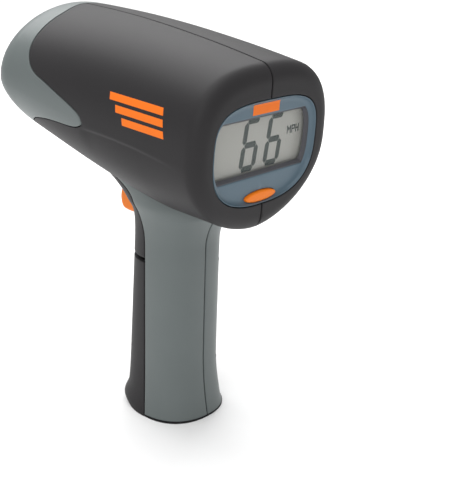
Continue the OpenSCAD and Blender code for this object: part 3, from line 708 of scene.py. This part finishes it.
def housing_point(column, v, t):
    """A point of half the housing: v runs along the skin from the ring's edge (0..1), round the rear
    edge (1..2) and over the rear face to the display's opening (2..3)."""
    if v > 2:
        outer = skin_point(0, column_angle(column, 0))
        return outer.lerp(on_rear(opening_point(column), 0), v - 2) + Vector((0, t, 0))
    if v > 1:
        s = REAR_ROUND_S * (1 - sin_deg(90 * (v - 1)))
        return skin_point(s, column_angle(column, s), t)
    a = ring_angle(column)
    s = mix(station(curve(RING_EDGE, a) - edge_gap(a)), REAR_ROUND_S, v)
    p = skin_point(s, column_angle(column, s), t)
    sunk = crease(p.y, p.z) if column.kind == "angle" else 0
    return skin_point(s, column.value, t + sunk) if sunk > 0 else p


def barrel_half(name, side, node):
    rows = (lines(58, 128, ends=(True, False)) + span(even(10)[1:], 1, 2)
            + span(lines(6, 12, 0.8, (False, True))[1:], 2, 3))
    wells = [(y, z, -flank_point(y, z, -WALL).x) for y, z in HOUSING_SCREWS]
    add_half(name, side, shell(half_columns(), rows, housing_point, WALL), DARK, "dark_plastic", node, wells)


def add_half(name, side, grid, finish, slot, node, wells):
    """A left (-1) or right (1) half. The right one has screw wells: Y, Z and the wall's X of each."""
    verts, faces = mirrored(*grid) if side > 0 else grid
    half = add_piece(name, verts, faces, finish, "gun", slot, (node,), sharp=40)
    for y, z, wall_x in wells if side > 0 else ():
        screw_well(half, y, z, wall_x, finish, slot)


def seam_lip():
    """The lips inside the barrel's seam, which close the groove between its halves."""
    rows = even(40) + span(even(16)[1:], 1, 3)
    for edge in ("top", "bottom"):
        columns = [Line(Column(edge, x)) for x in LIP_X]
        verts, faces = shell(columns if edge == "top" else columns[::-1], rows,
                             lambda column, v, t: housing_point(column, v, t + LIP_DEPTH), LIP_T)
        for side in (verts, faces), mirrored(verts, faces):
            add_piece("barrel_seam_lip", *side, BLACK, "gun", "dark_plastic")


def screw_well(half, y, z, wall_x, finish, slot):
    """A round hole through the right wall and the well behind it, down to the screw's head."""
    bore = ellipse(WELL_R, WELL_R, 40, (y, z))
    sleeve = ellipse(WELL_R + WELL_WALL, WELL_R + WELL_WALL, 40, (y, z))
    cut(half, bore, 60, side_place(WELL_X + 4))
    well = slab_mesh([sleeve, bore], wall_x + 0.4 - WELL_X, 0.05, 1)
    add_mesh("screw_well", well, side_place(WELL_X), finish, "gun", slot)


def on_side(p, a):
    """A point of the skin, mirrored to +X where the angle is positive."""
    return Vector((-p.x, p.y, p.z)) if a > 0 else p


def nose_station(turn):
    """Station where the nose's round has turned by that many radians."""
    return mix(NOSE_ROUND_S, 1, math.sin(turn))


def ring_point(a, v, t):
    """A point of the nose ring: v runs from its rear edge to the nose's round (0..1) and on into the
    opening (1..2)."""
    start = station(curve(RING_EDGE, abs(a)))
    flat = max(start + 0.004, NOSE_ROUND_S)
    s = mix(start, flat, v) if v <= 1 else nose_station(mix(turn_angle(flat), OPEN_TURN, v - 1))
    return on_side(skin_point(s, abs(a), t), a)


def nose_ring():
    """The grey ring round the nose, with its tongue along each flank."""
    angles = tongue_angles(0.0, 180, 0.75, 1.5)
    columns = [Line(a) for a in angles + [180.0] + [-a for a in reversed(angles)]]
    rows = lines(26, 26, ends=(True, False)) + span(lines(16, 18, 0.6, (False, True))[1:], 1, 2)
    verts, faces = shell(columns, rows, ring_point, WALL)
    faces = [f for f in faces if not on_ring_end(f, len(columns), len(rows))]
    add_piece("nose_ring_skin", verts, faces, GREY, "gun", "grey_plastic", ("nose_ring",), sharp=40)


def on_ring_end(face, nu, nv):
    """True for the two walls that would close the ring's ends, which meet."""
    columns = {(i % (nu * nv)) // nv for i in face}
    return columns == {0} or columns == {nu - 1}


def nose_point(f, a, back):
    """A point of the nose cover: f runs from the horn's axis to the rim, and back is behind the dome."""
    s = nose_station(OPEN_TURN)
    rim = on_side(skin_point(s, abs(a), COVER_GAP), a)
    centre = Vector((0, rim.y + lean(s) * (HORN_Z - rim.z), HORN_Z))
    p = centre.lerp(rim, f)
    return Vector((p.x, p.y + COVER_DOME * (1 - f * f) - COVER_SUNK - back, p.z))


def nose_cover():
    """The domed cover over the horn, with a step round its rim."""
    count = 144
    verts = [nose_point(f, -180 + 360 * (i + 0.5) / count, back) for f, back in COVER_ROWS
             for i in range(count)]
    faces = ring_faces(len(COVER_ROWS), count)
    front, rear = len(verts), len(verts) + 1
    verts += [nose_point(0, 90, 0), nose_point(0, 90, COVER_T)]
    last = front - count
    faces += [(last + i, last + (i + 1) % count, front) for i in range(count)]
    faces += [((i + 1) % count, i, rear) for i in range(count)]
    add_piece("nose_cover_dome", verts, faces, DARK, "gun", "dark_plastic", ("nose_cover",), sharp=40)


# ---- Display ----

def window_point(a, g):
    """A point of the window's outline, grown by g: the opening's, with its top and bottom levelled."""
    x, v = face_point(a, g - WINDOW_IN)
    limit = WINDOW_H / 2 + g
    over = abs(v - WINDOW_V) / limit
    eased = (over ** -WINDOW_N + 1) ** (-1 / WINDOW_N) if over > 0.01 else over
    return x, WINDOW_V + math.copysign(limit * eased, v - WINDOW_V)


def dish_depth(x, v):
    """How deep the dish is behind the rear face near its top."""
    inside = v - face_height(x, True)
    slope = DISH[DISH_CREST:]
    for (g0, d0), (g1, d1) in zip(slope, slope[1:]):
        if inside >= g1:
            return mix(d0, d1, (inside - g0) / (g1 - g0))
    return DISH_D


def dish_floor_point(a, k):
    """A point of the dish's floor, a share k of the way from its slope to the window's edge."""
    return [mix(p, q, k) for p, q in zip(face_point(a, DISH[-1][0]), window_point(a, WELL[0][0]))]


def display_bezel():
    """The dished blue bezel, with the window's well and the button's hole."""
    rows = ([(face_point, g, d) for g, d in DISH] + [(dish_floor_point, k, DISH_D) for k in (0.3, 0.6, 0.85)]
            + [(window_point, g, d) for g, d in WELL] + [(face_point, DISH[0][0], WELL[-1][1])])
    verts = [on_rear(point(a, g), d) for point, g, d in rows for a in RIM_ANGLES]
    faces = ring_faces(len(rows), len(RIM_ANGLES), closed=True)
    bezel = add_piece("display_bezel_dish", verts, faces, SLATE, "gun", "slate_plastic", ("display_bezel",),
                      sharp=50)
    hole = ellipse(BUTTON_HALF[0] + BUTTON_GAP[0], BUTTON_HALF[1] + BUTTON_GAP[1], 96, (0, BUTTON_V))
    cut(bezel, hole, 7, face_place(6))


def painted_well_shade():
    """A dark grey sheet over the walls of the window's well, as painted shade of the deep recess."""
    verts = [on_rear(window_point(a, g), d) for g, d in WELL_SHADE_SHEET for a in RIM_ANGLES]
    faces = ring_faces(len(WELL_SHADE_SHEET), len(RIM_ANGLES), closed=True)
    add_piece("painted_well_shade", verts, faces, WELL_SHADE, "gun", "dark_plastic")


def mode_button():
    """The oval button, with a rounded edge and a slightly crowned top."""
    count = 72
    half_x, half_z = BUTTON_HALF
    rows = [(half_x - inset, half_z - inset, d) for inset, d in BUTTON_EDGE]
    rows += [(half_x * mix(1, k, 0.992), half_z * k, d) for k, d in BUTTON_CROWN]
    verts = [on_rear(p, BUTTON_D + d) for rx, rz, d in rows for p in ellipse(rx, rz, count, (0, BUTTON_V))]
    faces = ring_faces(len(rows), count)
    faces += [tuple(range(len(verts) - count, len(verts))), tuple(reversed(range(count)))]
    add_piece("mode_button_cap", verts, faces, ORANGE, "mode_button", "orange_plastic", ("mode_button",),
              sharp=50)


def digit_bars(shown):
    """Outlines of a seven-segment digit's bars, with pointed ends. shown is letters from a to g."""
    w, h, t, gap = DIGIT_W, DIGIT_H, DIGIT_T, DIGIT_GAP

    def flat(y):
        near, far = t / 2 + gap, 0.8 * t + gap
        return [(near, y), (far, y - t / 2), (w - far, y - t / 2), (w - near, y), (w - far, y + t / 2),
                (far, y + t / 2)]

    def tall(x, y0, y1):
        return [(x, y0 + gap), (x + t / 2, y0 + t / 2 + gap), (x + t / 2, y1 - t / 2 - gap), (x, y1 - gap),
                (x - t / 2, y1 - t / 2 - gap), (x - t / 2, y0 + t / 2 + gap)]

    low, mid, high, left, right = t / 2, h / 2, h - t / 2, t / 2, w - t / 2
    bars = {"a": flat(high), "g": flat(mid), "d": flat(low), "f": tall(left, mid, high),
            "b": tall(right, mid, high), "e": tall(left, low, mid), "c": tall(right, low, mid)}
    return [bars[k] for k in shown]


def letter_strokes():
    """The unit mark's letters and where each starts, as strokes on a 1 by 1.4 grid."""
    m = [(0, 0), (0, 1.4), (0.5, 0.6), (1, 1.4), (1, 0)]
    p = [(0, 0), (0, 1.4), (0.8, 1.4), (0.8, 0.7), (0, 0.7)]
    h = [[(0, 0), (0, 1.4)], [(0, 0.7), (0.8, 0.7)], [(0.8, 0), (0.8, 1.4)]]
    return ((0, zip(m, m[1:])), (1.45, zip(p, p[1:])), (2.7, h))


def stroke(a, b, w):
    """The outline of a stroke whose square ends reach past a and b."""
    d = Vector((b[0] - a[0], b[1] - a[1]))
    n = Vector((-d.y, d.x)).normalized() * w / 2
    e = d.normalized() * w / 2
    return [(a[0] - e.x + n.x, a[1] - e.y + n.y), (a[0] - e.x - n.x, a[1] - e.y - n.y),
            (b[0] + e.x - n.x, b[1] + e.y - n.y), (b[0] + e.x + n.x, b[1] + e.y + n.y)]


def add_ink(verts, faces, outline, at, slant=0.0):
    """Adds a flat outline on the display, placed and slanted."""
    start = len(verts)
    verts += [on_rear((at[0] + x + slant * y, at[1] + y), INK_D) for x, y in outline]
    faces.append(tuple(range(start, len(verts))))


def lcd_segments():
    """The two digits and the unit mark."""
    verts, faces = [], []
    for x in DIGIT_X:
        for bar in digit_bars("afgecd"):
            add_ink(verts, faces, bar, (x, DIGIT_V), DIGIT_SLANT)
    for x, strokes in letter_strokes():
        for a, b in strokes:
            bar = stroke([c * UNIT_SIZE for c in a], [c * UNIT_SIZE for c in b], UNIT_T)
            add_ink(verts, faces, bar, (UNIT_AT[0] + x * UNIT_SIZE, UNIT_AT[1]))
    add_piece("lcd_segments_ink", verts, faces, INK, "gun", "segment_ink", ("lcd_segments",))


# ---- Grip ----

def grip_front(z):
    """Y of the grip's front: straight, with a rounded toe, and swept forward at the top."""
    toe = 3.1 * (1 - smooth((z - 3.4) / 10)) - 6 * max(0, 1 - z / 5) ** 2
    sweep = 0.013 * max(0, z - 108.4) ** 2 + 0.048 * max(0, z - 115) ** 2
    return 23 - 0.061 * z + toe + sweep


def grip_back(z):
    """Y of the grip's back, with a heel and a swell under the barrel."""
    heel = 4.6 * max(0, 1 - z / 40) ** 2
    swell = 0.0185 * min(max(0, z - GRIP_BEND_Z), 20) ** 2
    return -25.4 - heel - swell


def grip_side(z):
    """Half width of the grip, with a flared foot and a swell under the barrel."""
    foot = 3.5 * max(0, 1 - z / 30) ** 2
    swell = 0.008 * min(max(0, z - GRIP_BEND_Z), 24) ** 2
    return GRIP_HALF_W + foot + swell


def split_y(z):
    """Y of the line between the grey halves and the dark front."""
    foot = 3.3 * max(0, 1 - z / 30) ** 2
    sweep = 0.012 * max(0, z - 104) ** 2 + 0.11 * max(0, z - 125) ** 2
    return -2.2 - foot + sweep


def grip_middle(z, t=0.0):
    """Y of the section's middle, and half its depth, inset by t."""
    return (grip_front(z) + grip_back(z)) / 2, (grip_front(z) - grip_back(z)) / 2 - t


def grip_point(z, h, t=0.0):
    """A point of the grip's skin, t deep: h runs from the front through -X to the back."""
    middle, deep = grip_middle(z, t)
    return Vector((-(grip_side(z) - t) * power(sin_deg(h), 2 / GRIP_N),
                   middle + deep * power(cos_deg(h), 2 / GRIP_N), z))


def split_angle(z, y, t):
    """Angle of the grip's point at that height and Y, inset by t where t is a wall's."""
    middle, deep = grip_middle(z, t if t > 1 else 0)
    return math.degrees(math.acos(power(min(0.999, (y - middle) / deep), GRIP_N / 2)))


def back_angle(z, x):
    """Angle of the point of the grip's back that lies x from the middle plane."""
    return 180 - math.degrees(math.asin((x / grip_side(z)) ** (GRIP_N / 2)))


def grip_wall_x(y, z):
    """X of the left wall's inner side at that Y and height."""
    middle, deep = grip_middle(z, GRIP_WALL)
    return -(grip_side(z) - GRIP_WALL) * (1 - abs((y - middle) / deep) ** GRIP_N) ** (1 / GRIP_N)


def grip_half(name, side, node):
    z0, z1 = GRIP_LO.z, GRIP_HI.z
    foot = GRIP_LOW / (z1 - z0)

    def place(u, v, t):
        z = mix(z0, z1, v)
        first = split_angle(z, split_y(z) - SEAM / 2, t)
        return grip_point(z, mix(first, back_angle(z, GRIP_SEAM / 2), u), t)

    rows = span(lines(30, GRIP_LOW, 0.4, (True, False)), 0, foot) + span(even(72)[1:], foot, 1)
    wells = [(y, z, -grip_wall_x(y, z)) for y, z in GRIP_SCREWS]
    add_half(name, side, shell(lines(44, 46), rows, place, GRIP_WALL), GREY, "grey_plastic", node, wells)


def grip_lip():
    """The lip inside the grip's back seam."""
    z0, z1 = GRIP_LO.z + 0.6, GRIP_HI.z - 0.6

    def place(x, v, t):
        z = mix(z0, z1, v)
        p = grip_point(z, back_angle(z, abs(x)), 0.8 + t)
        return Vector((-x, p.y, z))

    verts, faces = shell([Line(-GRIP_LIP_X), Line(0.01), Line(GRIP_LIP_X)], even(70), place, 1.0)
    add_piece("grip_seam_lip", verts, faces, BLACK, "gun", "dark_plastic")


def ridge(p):
    """How far the door's thumb ridges stand out at p."""
    across = smooth((RIDGE_HALF_W - abs(p.x)) / 1.5)
    along = smooth((p.z - RIDGE_Z[0]) / 0.8) * smooth((RIDGE_Z[1] - p.z) / 0.8)
    return RIDGE_H * across * along * math.sin(math.pi * (p.z - RIDGE_Z[0]) / RIDGE_PITCH) ** 2


def door_skin():
    """The door's dark cover, with ridges for the thumb."""
    z0, z1 = DOOR_LO.z, DOOR_AXIS.z
    low = DOOR_LOW / (z1 - z0)

    def place(u, v, t):
        z = mix(z0, z1, v)
        first = split_angle(z, split_y(z) + DOOR_GAP, t)
        p = grip_point(z, mix(-first, first, u), t)
        return Vector((p.x, p.y + (ridge(p) if t < 1 else 0), z))

    rows = (span(lines(56, DOOR_LOW, DOOR_EDGE_R, (True, False)), 0, low)
            + span(lines(30, z1 - z0 - DOOR_LOW, DOOR_EDGE_R, (False, True))[1:], low, 1))
    verts, faces = shell(lines(72, 62, DOOR_EDGE_R), rows, place, GRIP_WALL, DOOR_EDGE_R)
    add_piece("battery_door_skin", verts, faces, DARK, "battery_door", "dark_plastic", ("battery_door",),
              sharp=40)


def door_floor():
    """The door's floor, which stops short of the tray."""
    back = split_y(0) + 0.5
    edge = [tuple(grip_point(0, 90 - 180 * k / 60, 0.7).xy) for k in range(61)]
    edge = [p for p in edge if p[1] > back + 0.1]
    notch = [(edge[-1][0], back), (TRAY_HALF_W, back), (TRAY_HALF_W, TRAY_FRONT_Y),
             (-TRAY_HALF_W, TRAY_FRONT_Y), (-TRAY_HALF_W, back), (edge[0][0], back)]
    floor = slab_mesh([edge + notch], DOOR_FLOOR_T, 0.2)
    add_mesh("battery_door_floor", floor, Matrix.Identity(4), DARK, "battery_door", "dark_plastic")


def door_hook():
    """The hook that holds the door shut on the base."""
    add_mesh("battery_door_hook", slab_mesh([HOOK], HOOK_W, 0.3), side_place(-HOOK_W / 2), DARK,
             "battery_door", "dark_plastic")


def door_knuckle():
    """The knuckle round the door's pin."""
    y, z = DOOR_AXIS.y, DOOR_AXIS.z
    barrel = [(y + KNUCKLE_R * cos_deg(a), z + KNUCKLE_R * sin_deg(a)) for a in range(0, 181, 15)]
    outline = [(y + 1.2, z - 4)] + barrel + [(y - KNUCKLE_R, z - 4)]
    eye = ellipse(KNUCKLE_EYE_R, KNUCKLE_EYE_R, 24, (y, z))
    add_mesh("battery_door_knuckle", slab_mesh([outline, eye], KNUCKLE_W, 0.15, 1),
             side_place(-KNUCKLE_W / 2), DARK, "battery_door", "dark_plastic")


def front_strap():
    """The dark moulding above the door, with the trigger's slot and the slot's dark bottom."""
    z0, z1 = STRAP_LO.z + STRAP_FOOT, STRAP_HI.z

    def place(u, v, t):
        z = mix(z0, z1, v)
        first = split_angle(z, split_y(z) + SEAM / 2, t)
        return grip_point(z, mix(-first, first, u), t)

    verts, faces = shell(lines(90, 70), lines(60, z1 - z0, ends=(True, False)), place, GRIP_WALL)
    strap = add_piece("front_strap_skin", verts, faces, DARK, "gun", "dark_plastic", ("front_strap",),
                      sharp=40)
    cut(strap, rounded_rectangle(*TRIGGER_SLOT, 1.5, (0, TRIGGER_SLOT_Z)), 40, front_place(48))
    back = slab_mesh([rounded_rectangle(20.4, 21.6, 2, (0, 110.7))], 0.6, 0.15)
    add_mesh("trigger_well_back", back, front_place(14.6), BLACK, "gun", "dark_plastic", sharp=40)


def trigger():
    """The trigger: its pull, the hub on its pin, and the lever for the switch."""
    pull = slab_mesh([closed_curve(TRIGGER_PROFILE, 10)], TRIGGER_W, 2.6, 7)
    add_mesh("trigger_pull_cap", pull, side_place(-TRIGGER_W / 2), ORANGE, "trigger", "orange_plastic",
             ("trigger",), 60)
    axis = (TRIGGER_AXIS.y, TRIGGER_AXIS.z)
    hub = slab_mesh([ellipse(HUB_R, HUB_R, 48, axis), ellipse(HUB_BORE_R, HUB_BORE_R, 32, axis)], HUB_W, 0.3)
    add_mesh("trigger_hub", hub, side_place(-HUB_W / 2), ORANGE, "trigger", "orange_plastic", sharp=40)
    lever = slab_mesh([TRIGGER_ARM], ARM_W, 0.3)
    add_mesh("trigger_lever", lever, side_place(-ARM_W / 2), ORANGE, "trigger", "orange_plastic", sharp=40)


def trigger_spring():
    """The small return spring, as a coil of steel wire."""
    lo, hi = box_mm("trigger_spring")
    x, y = (lo.x + hi.x) / 2, (lo.y + hi.y) / 2
    steps, sides = 160, 10
    radius = (hi.x - lo.x) / 2 - SPRING_WIRE_R
    verts = []
    for i in range(steps + 1):
        turn = 2 * math.pi * SPRING_TURNS * i / steps
        out = Vector((math.cos(turn), math.sin(turn), 0))
        z = mix(lo.z + SPRING_WIRE_R, hi.z - SPRING_WIRE_R, i / steps)
        for across, up in ellipse(SPRING_WIRE_R, SPRING_WIRE_R, sides, (0, 0)):
            verts.append(Vector((x, y, z)) + out * radius + out * across + Vector((0, 0, up)))
    faces = ring_faces(steps + 1, sides)
    faces += [tuple(reversed(range(sides))), tuple(range(steps * sides, (steps + 1) * sides))]
    spring = add_piece("trigger_spring_coil", verts, faces, STEEL, "gun", "steel", ("trigger_spring",),
                       sharp=60)
    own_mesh(spring)


# ---- Printed marks ----

def add_print(name, us, vs, place, thickness):
    """A thin printed piece in orange ink."""
    verts, faces = shell(us, vs, place, thickness, 0.05)
    add_piece(name, verts, faces, ORANGE_INK, "gun", "orange_plastic")


def label():
    """A plain orange label above the window, without lettering."""
    def place(u, v, t):
        x, height = mix(-LABEL_HALF_W, LABEL_HALF_W, u), mix(*LABEL_V, v)
        return on_rear((x, height), dish_depth(x, height) - PRINT_PROUD + t)

    add_print("bezel_label", lines(12, 18.8, 0.05), lines(24, 5.1, 0.05), place, 0.1)


def flank_mark():
    """Three slanted speed stripes printed on the left flank."""
    for k, (y0, y1) in enumerate(STRIPES):
        def place(u, v, t):
            y, z = mix(y0, y1, u), STRIPE_TOP_Z - STRIPE_PITCH * k - STRIPE_H * v
            return flank_point(y - STRIPE_SLANT * v, z - STRIPE_FALL * (y0 - y), PRINT_PROUD - t)

        add_print("flank_mark", lines(30, 35, 0.05), lines(6, STRIPE_H, 0.05), place, 0.12)


# ---- Build ----

barrel_half("left_barrel_skin", -1, "left_housing")
barrel_half("right_barrel_skin", 1, "right_housing")
seam_lip()
nose_ring()
nose_cover()
display_bezel()
painted_well_shade()
mode_button()
lcd_segments()
grip_half("left_grip_skin", -1, "left_grip")
grip_half("right_grip_skin", 1, "right_grip")
grip_lip()
door_skin()
door_floor()
door_hook()
door_knuckle()
front_strap()
trigger()
trigger_spring()
label()
flank_mark()

# The parts that keep their CAD shapes, by finish
CARRIED = (
    (BLACK, "trigger_switch battery_tray main_chips display_chips button_switch"),
    (WHITE, "trigger_plunger lcd_frame button_plunger"),
    (STEEL, "transceiver_screws door_pin trigger_pin contact_spring contact_plate display_screws"
            " housing_screws grip_screws"),
    (BOARD, "main_board display_board"), (RIBBON, "display_cable antenna_cable"),
    (FOAM, "nose_seal connector_strips"), (CAST, "horn_antenna"), (BRASS, "transceiver"),
    (SLEEVE, "cells"), (RED, "positive_lead"), (WIRE, "negative_lead"), (PANEL, "lcd_panel"),
    (CLEAR, "window"), (SOLE, "base_plate"),
)
for finish, nodes in CARRIED:
    for node in nodes.split():
        materials = frame["nodes"][node].data.materials
        materials.clear()
        materials.append(finish)


# ---- Stage, light and camera ----

FLOOR_HALF = 3.0  # in metres, as everything below


def floor():
    """A wide sheet of white paper under the object."""
    mesh = bpy.data.meshes.new("floor")
    corners = [(x * FLOOR_HALF, y * FLOOR_HALF, 0) for x, y in ((-1, -1), (1, -1), (1, 1), (-1, 1))]
    mesh.from_pydata(corners, [], [(0, 1, 2, 3)])
    mat, tree, shader = node_material("floor_paper")
    set_inputs(shader, {"Roughness": 0.9, "Specular IOR Level": 0.1})
    paper = add_node(tree, "ShaderNodeTexNoise", {"Scale": 300})
    tone = add_node(tree, "ShaderNodeMix", {"A": (0.86, 0.86, 0.86, 1), "B": (0.89, 0.89, 0.89, 1)},
                    data_type="RGBA")
    join(paper, "Fac", tone, "Factor")
    join(tone, "Result", shader, "Base Color")
    mesh.materials.append(mat)
    add_object("floor", mesh)


def softbox(name, place, target, size, watts):
    """A rectangular lamp that faces the target."""
    data = bpy.data.lights.new(name, "AREA")
    data.shape, data.energy = "RECTANGLE", watts
    data.size, data.size_y = size
    lamp = add_object(name, data)
    lamp.location = place
    lamp.rotation_euler = (Vector(target) - Vector(place)).to_track_quat("-Z", "Y").to_euler()


def daylight(direction, strength, spread):
    """A broad even light from that direction."""
    data = bpy.data.lights.new("daylight", "SUN")
    data.energy, data.angle = strength, math.radians(spread)
    lamp = add_object("daylight", data)
    lamp.rotation_euler = Vector(direction).to_track_quat("Z", "Y").to_euler()


def camera():
    """A camera that looks down on the left rear, slightly rolled."""
    azimuth, rise, roll = -47.8, 20.9, 1.8
    distance, target = 0.5108, Vector((0.0082, -0.0319, 0.1005))
    back = Vector((sin_deg(azimuth) * cos_deg(rise), -cos_deg(azimuth) * cos_deg(rise), sin_deg(rise)))
    right = Vector((cos_deg(azimuth), sin_deg(azimuth), 0))
    up = back.cross(right)
    rolled = right * cos_deg(roll) + up * sin_deg(roll), up * cos_deg(roll) - right * sin_deg(roll)
    data = bpy.data.cameras.new("camera")
    data.sensor_width, data.lens, data.clip_start = 36, 72.3, 0.01
    obj = add_object("camera", data)
    turn = Matrix((*rolled, back)).transposed().to_4x4()
    obj.matrix_world = Matrix.Translation(target + back * distance) @ turn
    scene.camera = obj


def surroundings(strength):
    world = bpy.data.worlds.new("studio")
    world.use_nodes = True
    set_inputs(world.node_tree.nodes["Background"], {"Color": (1, 1, 1, 1), "Strength": strength})
    scene.world = world


surroundings(0.5)
scene.view_settings.view_transform = "Standard"
floor()
daylight((-0.1, 0.1, 1.0), 2.1, 60)
softbox("far_softbox", (0.5, 0.85, 1.1), (0, 0, 0.15), (1.5, 0.8), 15)
softbox("left_softbox", (-1.1, -0.65, 0.85), (0, 0, 0.12), (0.7, 0.7), 4.5)
camera()
